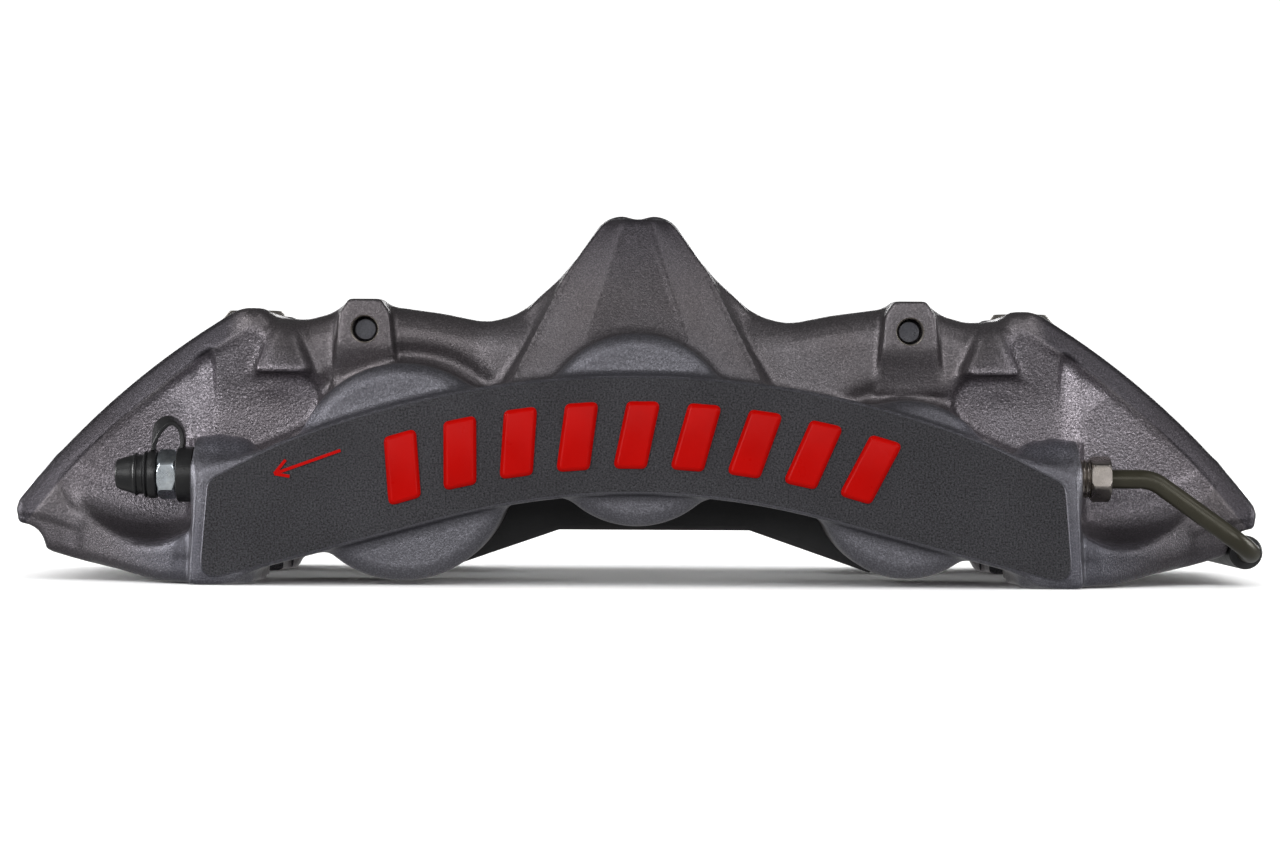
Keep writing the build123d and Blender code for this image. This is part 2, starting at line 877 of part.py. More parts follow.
save(monobloc(), "caliper_body")
for side, half in ((-1, "outer"), (1, "inner")):
    for size, angle, bore_radius, _ in pistons:
        save(piston(side, angle, bore_radius), f"{half}_piston_{size}")
        save(ring(side, angle, bore_radius, seal_y, seal_width, seal_depth), f"{half}_seal_{size}")
        save(ring(side, angle, bore_radius, wiper_y, wiper_width, wiper_depth), f"{half}_wiper_{size}")
    save(backing_plate(side), f"{half}_backing_plate")
    save(friction_block(side), f"{half}_friction_block")
    save(shim(side), f"{half}_shim")
    save(bleed_screw(side), f"{half}_bleed_screw")
    save(bleed_cap(side), f"{half}_bleed_cap")
    save(cap_strap(side), f"{half}_cap_strap")
    save(pipe_nut(side), f"{half}_pipe_nut")
    for end, hand in ((-1, "left"), (1, "right")):
        save(wear_plate(end, side), f"{half}_wear_plate_{hand}")
for end, hand in ((-1, "left"), (1, "right")):
    save(pad_pin(end * pin_x), f"pad_pin_{hand}")
    save(pin_sleeve(end * pin_x), f"pin_sleeve_{hand}")
    save(pad_spring(end), f"pad_spring_{hand}")
save(wear_plate_screws(), "wear_plate_screws")
save(crossover_pipe(), "crossover_pipe")
save(pipe_sleeve(), "pipe_sleeve")
save(emblem_bars(), "emblem_bars")
save(rotation_arrow(), "rotation_arrow")
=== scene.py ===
import math

import bmesh
import bpy
import numpy as np
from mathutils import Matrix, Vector


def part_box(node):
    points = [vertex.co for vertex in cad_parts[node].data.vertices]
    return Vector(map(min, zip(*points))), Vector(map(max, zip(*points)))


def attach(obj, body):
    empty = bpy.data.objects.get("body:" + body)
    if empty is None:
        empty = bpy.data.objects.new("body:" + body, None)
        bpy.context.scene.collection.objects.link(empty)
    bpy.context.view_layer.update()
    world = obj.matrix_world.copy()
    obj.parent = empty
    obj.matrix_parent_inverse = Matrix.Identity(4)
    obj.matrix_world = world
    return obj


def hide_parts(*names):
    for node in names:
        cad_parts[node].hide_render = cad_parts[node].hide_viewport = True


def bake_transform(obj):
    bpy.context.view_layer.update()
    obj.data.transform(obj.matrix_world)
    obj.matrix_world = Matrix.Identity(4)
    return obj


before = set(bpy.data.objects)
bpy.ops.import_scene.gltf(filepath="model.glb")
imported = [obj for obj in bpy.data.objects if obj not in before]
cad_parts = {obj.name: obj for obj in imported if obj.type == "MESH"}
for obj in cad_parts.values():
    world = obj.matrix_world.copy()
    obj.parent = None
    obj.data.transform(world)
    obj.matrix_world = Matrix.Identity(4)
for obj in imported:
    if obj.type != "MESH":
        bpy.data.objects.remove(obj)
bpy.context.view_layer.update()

MM = 0.001


def centre(node):
    """Middle of a CAD node in millimetres, to the hundredth."""
    low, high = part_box(node)
    return [round(c / MM, 2) for c in (low + high) / 2]


# ---------------------------------------------------------------- the forging, as a distance field
# Lengths in this section are in millimetres, as in the CAD. Its wheel side is -Y, its vehicle side +Y.
STEP = 0.8
SPAN = ((-160.4, 160.5), (-75.2, 75.3), (-4.0, 96.1))
BODY_TRIANGLES = 175000

# the disc's axis, and how far the disc and the pads reach from it, with room to run
DISC_Z = -122.0
DISC_REACH, PAD_REACH = 192, 191
SLOT_HALF, PADS_HALF, PADS_END = 19, 36, 94

# half depths of the wall, the lip round the band and the band's face
WALL, SKIRT, BAND = 46.0, 71.2, 72.0

# each bore's place, its housing's radius and its own
SIZES = (("large", 26.8, 19.0), ("middle", 23.8, 17.0), ("small", 22.0, 15.0))
BORES = []
for size, housing, bore in SIZES:
    bore_x, _, bore_z = centre(f"outer_piston_{size}")
    BORES.append((bore_x, bore_z, housing, bore))
HOUSING_FACE = 67

# where the wings' rim begins: an arc about (0, -TIP_Z)
TIP_Z, RIM_RADIUS = 102.2, 192.6

# how far out the port blocks end, the plane their screws and nuts are measured from, and the ports' axes
BLOCK_X, PORT_X = 109.0, 111.0
_, PORT_Y, PORT_Z = centre("inner_bleed_screw")

PIN_X, _, PIN_Z = centre("pad_pin_right")
MOUNT_X, MOUNT_Y = 105.0, 45.0
HOSE_X, HOSE_Z = 34.5, 36.0


def arc(radius, centre_z, x0, x1, count):
    """Points of a circle's upper side between two x, its centre at x = 0."""
    return [(x, centre_z + math.sqrt(radius**2 - x**2)) for x in np.linspace(x0, x1, count)]


def both_halves(right):
    """A closed outline from its right half, listed from bottom middle to top middle."""
    return list(right) + [(-x, z) for x, z in reversed(right) if abs(x) > 1e-6]


WALL_OUTLINE = both_halves(
    arc(180, -156, 0, 48, 9)
    + [(94, 4.75), (94, 0), (118, 0), (150, 7.5), (155.4, 12.5), (156.6, 16.2), (155.8, 20)]
    + arc(198, -102.2, 152, 106, 13)
    + [(101.5, 67.9), (98.5, 68.7), (94, 68.7), (91.2, 66.5), (88.5, 66), (82.8, 66), (77.7, 67.4)]
    + [(73.5, 69.8), (70, 70.4), (65, 70.2), (61, 69.2), (49, 67.6), (40, 65.8), (36, 65.0), (0, 65.0)]
)
PEAK_OUTLINE = both_halves(
    [(0, 40), (38, 40), (37.2, 63), (35, 64.6), (31.7, 66.4), (28, 69.2), (24.2, 72.3), (19.6, 76.6)]
    + [(15.4, 81.6), (12, 86.6), (9.4, 90.4), (8.2, 91.6), (6, 92.6), (3.6, 92.9), (1.2, 92.1), (0, 91.9)]
)
BAND_OUTLINE = both_halves(
    arc(180, -157, 0, 48, 9) + [(107, 0.6), (105, 25.8)] + arc(235, -183.5, 88, 0, 15)
)
WING_POCKET = [(110, 54.5), (127, 42.0), (145.4, 26.0), (142.5, 20.5), (138, 15.5)]
WING_POCKET += [(130, 11.2), (117, 10.4), (113.5, 13), (112.4, 36.5)]
PLATEAU = [(111, 54.5), (97.5, 62.4), (94, 61), (92, 54), (84, 53)]
PLATEAU += [(79.5, 47), (81, 40.5), (99, 33), (112, 35.5)]
PIN_BOSS = [(-8.2, 48), (8.2, 48), (7.2, 60), (6.4, 67.5), (4.0, 71.0)]
PIN_BOSS += [(-4.0, 71.0), (-6.4, 67.5), (-7.2, 60)]
# heights along the wings of the lip under the pocket, and of the parting line
LIP_X = (106.0, 113.0, 117.0, 126.0, 140.0, 146.0, 150.0)
LIP_Z = (15.0, 12.6, 10.6, 11.0, 15.6, 20.5, 26.0)
PARTING_X = (106.0, 112.0, 119.0, 127.0, 136.3, 148.9, 156.0)
PARTING_Z = (7.6, 7.0, 6.9, 8.5, 11.6, 15.8, 17.1)


def polygon(u, v, pts):
    """Signed distance to a closed polygon, negative inside."""
    far = np.full(np.broadcast(u, v).shape, 1e9, np.float32)
    inside = np.zeros(far.shape, bool)
    for (ax, ay), (bx, by) in zip(pts, pts[1:] + pts[:1]):
        ex, ey = bx - ax, by - ay
        wx, wy = u - ax, v - ay
        t = np.clip((wx * ex + wy * ey) / (ex * ex + ey * ey), 0, 1)
        far = np.minimum(far, (wx - t * ex) ** 2 + (wy - t * ey) ** 2)
        if ey:
            inside ^= ((ay <= v) != (by <= v)) & (u < ex * (v - ay) / ey + ax)
    far = np.sqrt(far)
    far[inside] *= -1
    return far


def soften(field, sigma):
    """Blurs a field over x and z, which rounds its corners. sigma is in millimetres."""
    reach = int(3 * sigma / STEP) + 1
    kernel = np.exp(-0.5 * (np.arange(-reach, reach + 1) * STEP / sigma) ** 2)
    kernel /= kernel.sum()
    for axis in (0, 2):
        pad = [(0, 0)] * 3
        pad[axis] = (reach, reach)
        wide = np.pad(field, pad, mode="edge")
        field = sum(
            k * np.take(wide, range(i, i + field.shape[axis]), axis=axis) for i, k in enumerate(kernel)
        )
    return field.astype(np.float32)


def union(a, b, k):
    """Union of two fields with a fillet of about k."""
    h = np.maximum(k - np.abs(a - b), 0) / k
    return np.minimum(a, b) - h * h * k * 0.25


def common(a, b, k):
    """What two fields share, with an edge rounded by about k."""
    return -union(-a, -b, k)


def cut(a, b, k):
    """The first field less the second, with an edge rounded by about k."""
    return -union(-a, b, k)


def smooth(t, low, high):
    """0 at low, 1 at high, with flat ends."""
    t = np.clip((t - low) / (high - low), 0, 1)
    return t * t * (3 - 2 * t)


def eased(x, keys, values, sigma=3.0):
    """A polyline's value at x, with its corners rounded over about sigma."""
    line_x = np.arange(keys[0], keys[-1], 0.5)
    reach = int(6 * sigma)
    kernel = np.exp(-0.5 * (np.arange(-reach, reach + 1) * 0.5 / sigma) ** 2)
    line = np.pad(np.interp(line_x, keys, values), reach, mode="reflect", reflect_type="odd")
    return np.interp(x, line_x, np.convolve(line, kernel / kernel.sum(), mode="valid"))


def rod(u, v, w, centre, radius, low, high, edge):
    """Cylinder along w with rounded rims."""
    q = np.hypot(u - centre[0], v - centre[1]) - (radius - edge)
    p = np.abs(w - (low + high) / 2) - ((high - low) / 2 - edge)
    return np.hypot(np.maximum(q, 0), np.maximum(p, 0)) + np.minimum(np.maximum(q, p), 0) - edge


def block(x, y, z, low, high, edge):
    """Box with rounded edges."""
    q = [np.abs(c - (a + b) / 2) - ((b - a) / 2 - edge) for c, a, b in zip((x, y, z), low, high)]
    outside = np.sqrt(sum(np.maximum(c, 0) ** 2 for c in q))
    return outside + np.minimum(np.maximum(np.maximum(q[0], q[1]), q[2]), 0) - edge


# half width of the buttress at each height, and the flute that runs down beside it
RIDGE_Z = (42.0, 47.0, 54.6, 64.2, 73.0, 79.0, 84.0, 88.0, 90.5, 92.5, 95.0)
RIDGE_X = (34.5, 32.6, 29.4, 24.7, 20.3, 17.2, 13.9, 10.8, 8.6, 6.8, 5.6)
FLUTE = ((0.12, 0.38), (0.28, 0.64), (0.5, 0.82), (0.75, 0.94), (1.0, 1.0))


def neck_depth(z):
    """How far from the middle the face of the bridge's neck stands at that height."""
    return 44.5 - 0.22 * np.maximum(z - 58, 0)


class Grid:
    """The points at which the forging's field is taken, and their distances from some datums."""

    def __init__(self):
        xs, ys, zs = [np.arange(low, high, STEP, dtype=np.float32) for low, high in SPAN]
        self.origin = np.array((xs[0], ys[0], zs[0]), float)
        self.heights = zs
        self.x, self.y, self.z = xs[:, None, None], ys[None, :, None], zs[None, None, :]
        self.ax, self.ay = np.abs(self.x), np.abs(self.y)
        flat = (len(xs), 1, len(zs))
        self.flat_x, self.flat_z = np.broadcast_to(self.x, flat), np.broadcast_to(self.z, flat)
        self.flat_ax = np.abs(self.flat_x)
        self.from_rim = RIM_RADIUS - np.hypot(self.flat_ax, self.z + TIP_Z)
        self.outline = soften(polygon(self.flat_x, self.flat_z, WALL_OUTLINE), 0.7)
        self.band = soften(polygon(self.flat_x, self.flat_z, BAND_OUTLINE), 0.8)
        self.lip = eased(self.flat_ax, LIP_X, LIP_Z)
        parting = np.interp(self.flat_ax, PARTING_X, PARTING_Z)
        self.below = smooth(parting - self.z, -0.3, 0.5) * smooth(self.flat_ax, 104, 108)


def gusset(g):
    """Buttress on both faces of the centre bridge.

    It has a flat front between two creases, and facets out to a ridge on each side.
    """
    foot, height = 47, 43.5
    slices = []
    for z in g.heights:
        t = min(max((z - foot) / height, -0.1), 1.06)
        crease = 17.2 - 14.2 * t
        ridge = float(np.interp(z, RIDGE_Z, RIDGE_X))
        front = 59.5 - 14.0 * t - 2 * t * (1 - t)
        side = front - 5.0 + 1.5 * t
        drop = max(side - neck_depth(z), 0.8)
        fade = min(max((z - 60) / 8, 0), 1) * min(max((88 - z) / 6, 0), 1)
        right = [(crease - 1.0, front), (crease, front + 0.4 * fade), (crease + 1.1, front - 0.3)]
        right += [(ridge - 1.2, side + 0.1), (ridge, side + 0.3)]
        right += [(ridge + 0.9 * u * drop, side - v * drop) for u, v in FLUTE]
        right += [(ridge + 0.9 * drop, 15)]
        pts = right + [(-u, v) for u, v in reversed(right)]
        slices.append(polygon(g.x[:, :, 0], g.ay[:, :, 0], pts)[:, :, None])
    return np.concatenate(slices, axis=2)


def wall_and_bridges(g):
    """Wall of both halves with its end bridges, and the centre bridge with its buttresses.

    The shoulders roll back at their top edge and the wings stay crisper. A shallow moat runs
    round each housing, and the wings step in below the parting line.
    """
    roll = 2.6 + 5.4 * smooth(100 - g.ax, 0, 10)
    wall = np.full_like(g.outline, WALL)
    for x, z, radius, _ in BORES:
        wall -= 1.5 * np.exp(-(((np.hypot(g.x - x, g.z - z) - radius - 2.6) / 2.4) ** 2))
    wall += 0.42 * np.minimum(g.from_rim, 0) * smooth(g.flat_ax, 96, 104)
    d = common(g.outline + 0.4 * g.below, g.ay - wall + 0.6 * g.below, roll)
    room_low, room_high = (-PADS_END, -PADS_HALF, -50), (PADS_END, PADS_HALF, 150)
    d = cut(d, block(g.x, g.y, g.z, room_low, room_high, 2.0), 2.4)
    peak = soften(polygon(g.flat_x, g.flat_z, PEAK_OUTLINE), 0.8)
    d = union(d, common(peak, g.ay - neck_depth(g.z), 5.0), 5.0)
    buttress = common(common(gusset(g), peak, 1.5), g.z - 92.3, 3.0)
    return union(d, common(buttress, 44 - g.z, 2.0), 0.8)


def recesses(g, d):
    """Hollows in the wings and on the plateaus, with a valley between them and a shelf below."""
    valley_x, floor = 107, 42.2
    recess = np.minimum(
        soften(polygon(g.flat_ax, g.flat_z, WING_POCKET), 1.5),
        soften(polygon(g.flat_ax, g.flat_z, PLATEAU), 1.6),
    )
    up = np.clip((g.z - g.lip) / 11.0, 0, 1)
    scoop = WALL - 4.6 * np.sqrt(1 - (1 - up) ** 2)
    dish = WALL - 0.8 - 3.2 * (1 - np.exp(-np.maximum(g.from_rim, 0) / 12.0))
    rise = floor + 0.22 * np.maximum(g.flat_ax - valley_x, 0)
    pocket = np.maximum(np.minimum(dish, rise), scoop)
    bump = np.exp(-(((g.flat_ax - 91.5) / 3.4) ** 2) - ((g.flat_z - 48.8) / 2.4) ** 2)
    plateau = 42.4 + 3.4 * smooth(g.flat_z, 42, 66) + 0.35 * bump
    share = smooth(g.flat_ax, 106.0, 107.6)
    level = pocket * share + plateau * (1 - share)
    level = level - 0.6 * np.exp(-(((g.flat_ax - valley_x) / 1.1) ** 2)) * smooth(57 - g.z, 0, 3)
    d = cut(d, common(recess - 0.45 * (g.ay - level), level - g.ay, 1.2), 1.0)
    return union(d, common(shelf(g, pocket), 36 - g.ay, 1.0), 2.0)


def shelf(g, pocket):
    """Ledge under a wing's pocket: it runs out from the port block to the tip, with a cove above it."""
    cove_radius = 11.0
    cove_y, cove_z = g.ay - pocket + 0.2 - cove_radius, g.z - g.lip - cove_radius
    cove = np.maximum(cove_radius - np.hypot(cove_y, cove_z), np.maximum(cove_y, cove_z))
    slant = 0.604 * (g.ax - 111) + 0.797 * (g.ay - 68)
    ledge = common(slant, np.minimum(g.z - g.lip + 0.6, cove), 2.6)
    ledge = common(ledge, g.outline + 0.4 * g.below, 3.0)
    return common(ledge, g.ay - 67.5 + 0.6 * g.below, 2.0)


def bosses(g, d):
    """Housings round the bores, pad pin bosses, and the wedges beside those."""
    for x, z, radius, _ in BORES:
        d = union(d, rod(g.x, g.z, g.ay, (x, z), radius, 36, HOUSING_FACE, 3.4), 2.2)
    pins = soften(polygon(g.flat_ax - PIN_X, g.flat_z, PIN_BOSS), 0.35)
    pins = common(pins, g.ay - WALL - 3 * smooth(g.z, 50, 60), 1.2)
    d = union(d, common(pins, 36 - g.ay, 1.0), 2.0)
    wedge_x, foot, top = 88.6, 52.6, 65.0
    lean = (g.z - foot) / (top - foot)
    off = np.abs(g.ax - wedge_x)
    wedge = common(off - (7.4 - 5.6 * lean), g.ay - (52.3 - 5.2 * lean - 0.02 * off * off), 2.6)
    wedge = common(common(wedge, foot - g.z, 1.4), g.z - top, 5.0)
    return union(d, common(wedge, 38 - g.ay, 1.0), 3.0)


def port_blocks(g, d):
    """Port bosses on all four corners, and on the wheel side the block ends and the lip round the band."""
    for sign in (-1, 1):
        off_y, off_z = sign * g.y - PORT_Y, g.z - PORT_Z
        d = union(d, rod(off_y, off_z, g.ax, (0, 0), 9.5, 102, BLOCK_X, 1.4), 2.0)
        d = union(d, rod(off_y, off_z, g.ax, (0, 0), 9.4, 93, 107, 6.0), 3.0)
    ends = block(g.ax, g.y, g.z, (96, 0.4 - SKIRT, 0.2), (BLOCK_X, -40, 31), 3.0)
    spread = 0.5 + 2.0 * smooth(g.flat_ax, 90, 104) - 0.02 * (SKIRT + g.y)
    skirt = common(g.band - spread, -g.y - SKIRT, 1.2)
    return union(d, union(ends, common(skirt, g.y + 40, 1.0), 2.0), 2.2)


def vehicle_side(g, d):
    """Rib, block ends, feet, mounting columns and hose inlet."""
    rib = common(g.band - 1.5, g.y - 61, 3.0)
    d = union(d, common(rib, 40 - g.y, 1.0), 3.0)
    d = union(d, block(g.ax, g.y, g.z, (96, 40, 0.2), (BLOCK_X, 66, 33.5), 4.0), 4.0)
    d = union(d, block(g.ax, g.y, g.z, (94.5, 36.2, 0), (122, 56.5, 17), 3.0), 4.0)
    d = union(d, rod(g.ax, g.y, g.z, (MOUNT_X, MOUNT_Y), 10, 0, 72, 1.5), 4.0)
    return union(d, rod(g.x, g.z, g.y, (HOSE_X, HOSE_Z), 9, 40, 69, 1.0), 3.5)


def forging(g):
    """The whole cast and forged surface, without the machined cuts."""
    d = wall_and_bridges(g)
    for add in (recesses, bosses, port_blocks, vehicle_side):
        d = add(g, d)
    tip_hollow = np.hypot(g.ax - 154.6, g.z - 8.2) - 5.9
    d = cut(d, tip_hollow, 1.2)
    flat_feet = g.z
    return cut(d, flat_feet, 1.0).astype(np.float32)


def surface_net(field):
    """Vertices, in steps of the grid, and quads of a field's zero surface."""
    inside = field < 0
    count = np.zeros([n - 1 for n in field.shape], np.uint8)
    corners = [(i, j, k) for i in (0, 1) for j in (0, 1) for k in (0, 1)]
    for i, j, k in corners:
        count += inside[i : i + count.shape[0], j : j + count.shape[1], k : k + count.shape[2]]
    active = (count > 0) & (count < 8)
    cells = np.argwhere(active)
    total, hits = np.zeros((len(cells), 3)), np.zeros(len(cells))
    for a in corners:
        for axis in range(3):
            if a[axis]:
                continue
            b = tuple(1 if n == axis else c for n, c in enumerate(a))
            fa = field[cells[:, 0] + a[0], cells[:, 1] + a[1], cells[:, 2] + a[2]]
            fb = field[cells[:, 0] + b[0], cells[:, 1] + b[1], cells[:, 2] + b[2]]
            crossed = (fa < 0) != (fb < 0)
            t = np.where(crossed, fa / np.where(crossed, fa - fb, 1), 0)
            point = np.tile(np.array(a, float), (len(cells), 1))
            point[:, axis] += t
            total += point * crossed[:, None]
            hits += crossed
    verts = cells + total / hits[:, None]
    number = np.full(active.shape, -1, np.int32)
    number[active] = np.arange(len(cells))
    quads = []
    for axis in range(3):
        low = [slice(1, -1)] * 3
        low[axis] = slice(0, -1)
        high = [slice(1, -1)] * 3
        high[axis] = slice(1, None)
        here, there = inside[tuple(low)], inside[tuple(high)]
        u, v = [n for n in range(3) if n != axis]
        for wanted, order in ((here & ~there, 1), (~here & there, -1)):
            at = np.argwhere(wanted)
            at[:, u] += 1
            at[:, v] += 1
            ring = []
            for du, dv in ((-1, -1), (0, -1), (0, 0), (-1, 0))[:: order if axis != 1 else -order]:
                cell = at.copy()
                cell[:, u] += du
                cell[:, v] += dv
                ring.append(number[cell[:, 0], cell[:, 1], cell[:, 2]])
            quads.append(np.stack(ring, axis=1))
    return verts, np.concatenate(quads)


def sample(field, p):
    """The field between its grid points."""
    top = np.array(field.shape) - 1.001
    p = np.clip(p, 0, top)
    base = p.astype(int)
    f = p - base
    out = np.zeros(len(p))
    for i in (0, 1):
        for j in (0, 1):
            for k in (0, 1):
                weight = (
                    (f[:, 0] if i else 1 - f[:, 0])
                    * (f[:, 1] if j else 1 - f[:, 1])
                    * (f[:, 2] if k else 1 - f[:, 2])
                )
                out += weight * field[base[:, 0] + i, base[:, 1] + j, base[:, 2] + k]
    return out


def settle(field, verts):
    """Moves vertices onto the zero surface."""
    for _ in range(2):
        slope = np.stack(
            [sample(field, verts + e) - sample(field, verts - e) for e in 0.5 * np.eye(3)], axis=1
        )
        squared = np.maximum((slope**2).sum(axis=1), 1e-6)
        shift = (sample(field, verts) / squared)[:, None] * slope
        length = np.linalg.norm(shift, axis=1)[:, None]
        verts = verts - shift * np.minimum(1, 0.5 / np.maximum(length, 1e-9))
    return verts


def mesh_from(name, verts, faces):
    """Object from arrays of points in metres and faces of equal corner count."""
    mesh = bpy.data.meshes.new(name)
    sides = faces.shape[1]
    mesh.vertices.add(len(verts))
    mesh.vertices.foreach_set("co", np.ascontiguousarray(verts, np.float32).ravel())
    mesh.loops.add(faces.size)
    mesh.loops.foreach_set("vertex_index", faces.astype(np.int32).ravel())
    mesh.polygons.add(len(faces))
    mesh.polygons.foreach_set("loop_start", np.arange(0, faces.size, sides, dtype=np.int32))
    mesh.polygons.foreach_set("use_smooth", np.ones(len(faces), bool))
    mesh.update(calc_edges=True)
    mesh.validate()
    obj = bpy.data.objects.new(name, mesh)
    bpy.context.scene.collection.objects.link(obj)
    return obj


def closed_mesh(name, verts, faces):
    """Object from points in millimetres and faces of any order, which are turned outwards."""
    mesh = bpy.data.meshes.new(name)
    mesh.from_pydata([Vector(p) * MM for p in verts], [], faces)
    edit = bmesh.new()
    edit.from_mesh(mesh)
    bmesh.ops.recalc_face_normals(edit, faces=edit.faces)
    edit.to_mesh(mesh)
    edit.free()
    obj = bpy.data.objects.new(name, mesh)
    bpy.context.scene.collection.objects.link(obj)
    return obj


def place(axis, u, v, w):
    """A point whose w runs along that axis: u and v are the other two row axes in X, Y, Z order."""
    return {"x": (w, u, v), "y": (u, w, v), "z": (u, v, w)}[axis]


def shells(name, rings_of_shells):
    """One object of closed shells, each a stack of rings of equal corner count in millimetres."""
    verts, faces = [], []
    for rings in rings_of_shells:
        start, n = len(verts), len(rings[0])
        for ring in rings:
            verts += ring
        for level in range(len(rings) - 1):
            low, high = start + level * n, start + (level + 1) * n
            faces += [(low + i, low + (i + 1) % n, high + (i + 1) % n, high + i) for i in range(n)]
        faces.append([start + i for i in range(n)][::-1])
        faces.append([start + (len(rings) - 1) * n + i for i in range(n)])
    return closed_mesh(name, verts, faces)


def turned(axis, u, v, profile, sides=96):
    """Rings of a lathe shape along an axis: profile lists (w, radius)."""
    turns = [2 * math.pi * i / sides for i in range(sides)]
    return [[place(axis, u + r * math.cos(a), v + r * math.sin(a), w) for a in turns] for w, r in profile]


def prism(axis, pts, levels):
    """Rings of a prism along an axis. levels lists (w, how far the outline is set in there)."""
    return [[place(axis, u, v, w) for u, v in inset(pts, by)] for w, by in levels]


def inset(pts, by):
    """A closed outline moved inwards by that much."""
    if not by:
        return pts
    area = sum(a[0] * b[1] - b[0] * a[1] for a, b in zip(pts, pts[1:] + pts[:1])) / 2
    side = 1 if area > 0 else -1
    out = []
    for i, p in enumerate(pts):
        before, after = Vector(pts[i - 1]), Vector(pts[(i + 1) % len(pts)])
        a = (Vector(p) - before).normalized()
        b = (after - Vector(p)).normalized()
        na, nb = Vector((-a.y, a.x)) * side, Vector((-b.y, b.x)) * side
        n = (na + nb).normalized()
        out.append(tuple(Vector(p) + n * (by / max(n.dot(na), 0.3))))
    return out


def rounded(pts, radius, steps=6):
    """A closed outline with its corners rounded."""
    out = []
    for i, p in enumerate(pts):
        p, before, after = Vector(p), Vector(pts[i - 1]), Vector(pts[(i + 1) % len(pts)])
        a, b = (before - p), (after - p)
        bend = math.pi - a.angle(b)
        if bend < 0.2:
            out.append(tuple(p))
            continue
        reach = min(radius * math.tan(bend / 2), 0.45 * a.length, 0.45 * b.length)
        start, end = p + a.normalized() * reach, p + b.normalized() * reach
        for k in range(steps + 1):
            t = k / steps
            out.append(tuple(start * (1 - t) ** 2 + p * 2 * t * (1 - t) + end * t * t))
    return out


def combine(obj, other, operation):
    """Applies a boolean of obj with other, which is removed."""
    mod = obj.modifiers.new("combine", "BOOLEAN")
    mod.object, mod.operation, mod.solver = other, operation, "MANIFOLD"
    apply_modifiers(obj)
    bpy.data.objects.remove(other)


def apply_modifiers(obj):
    """Bakes an object's modifiers into its mesh."""
    graph = bpy.context.evaluated_depsgraph_get()
    graph.update()
    baked = obj.evaluated_get(graph)
    mesh = bpy.data.meshes.new_from_object(baked, preserve_all_data_layers=True, depsgraph=graph)
    obj.modifiers.clear()
    old, obj.data = obj.data, mesh
    bpy.data.meshes.remove(old)


def room(radius, half_width, half_length):
    """Rings of the space under an arc about the disc's axis, that far to each side of the middle."""
    pts = arc(radius, DISC_Z, -half_length, half_length, 49) + [(half_length, -20), (-half_length, -20)]
    return prism("y", pts, [(-half_width, 0), (half_width, 0)])


def machined_holes():
    """Bores, ports, pad pin holes, mounting holes with their spot faces, and the hose inlet."""
    port = [(112.5, 8), (107.9, 8), (107.9, 5.6), (107.3, 5), (96, 5)]
    pin_hole = [(-52, 3.6), (-48.9, 3.55), (-48.6, 3.25), (39, 3.25), (39, 4.5), (48.5, 4.5), (49.5, 5.5)]
    mounting = [(-5, 6.25), (69.9, 6.25), (70.5, 6.85), (70.5, 7.2), (67.2, 10.0), (67.2, 13), (80, 13)]
    holes = []
    for sign in (-1, 1):
        for x, z, _, radius in BORES:
            holes.append(turned("y", x, z, [(30 * sign, radius), (62.4 * sign, radius)]))
        for end in (-1, 1):
            holes.append(turned("x", PORT_Y * sign, PORT_Z, [(w * end, r) for w, r in port]))
        holes.append(turned("y", PIN_X * sign, PIN_Z, pin_hole))
        holes.append(turned("z", MOUNT_X * sign, MOUNT_Y, mounting))
    holes.append(turned("y", HOSE_X, HOSE_Z, [(56, 4.5), (68.2, 4.5), (69.4, 5.7)]))
    return holes


def caliper_body():
    """The forging as a mesh, with the band's flat face put on and the machined rooms and holes cut."""
    grid = Grid()
    field = forging(grid)
    verts, quads = surface_net(field)
    verts = settle(field, verts)
    obj = mesh_from("forging", (verts * STEP + grid.origin) * MM, quads)
    thin = obj.modifiers.new("thin", "DECIMATE")
    thin.ratio = BODY_TRIANGLES / (2 * len(quads))
    apply_modifiers(obj)
    edge = 0.35
    levels = [(-60, 0), (edge - BAND, 0), (-BAND, edge)]
    combine(obj, shells("band", [prism("y", rounded(BAND_OUTLINE, 4.5), levels)]), "UNION")
    combine(obj, shells("pads", [room(PAD_REACH, PADS_HALF, PADS_END)]), "DIFFERENCE")
    combine(obj, shells("disc", [room(DISC_REACH, SLOT_HALF, 150)]), "DIFFERENCE")
    combine(obj, shells("holes", machined_holes()), "DIFFERENCE")
    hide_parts("caliper_body")
    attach(obj, "caliper")
    obj.data.shade_smooth()
    obj.data.set_sharp_from_angle(angle=math.radians(38))
    obj.modifiers.new("weigh", "WEIGHTED_NORMAL").keep_sharp = True
    return obj


body = caliper_body()


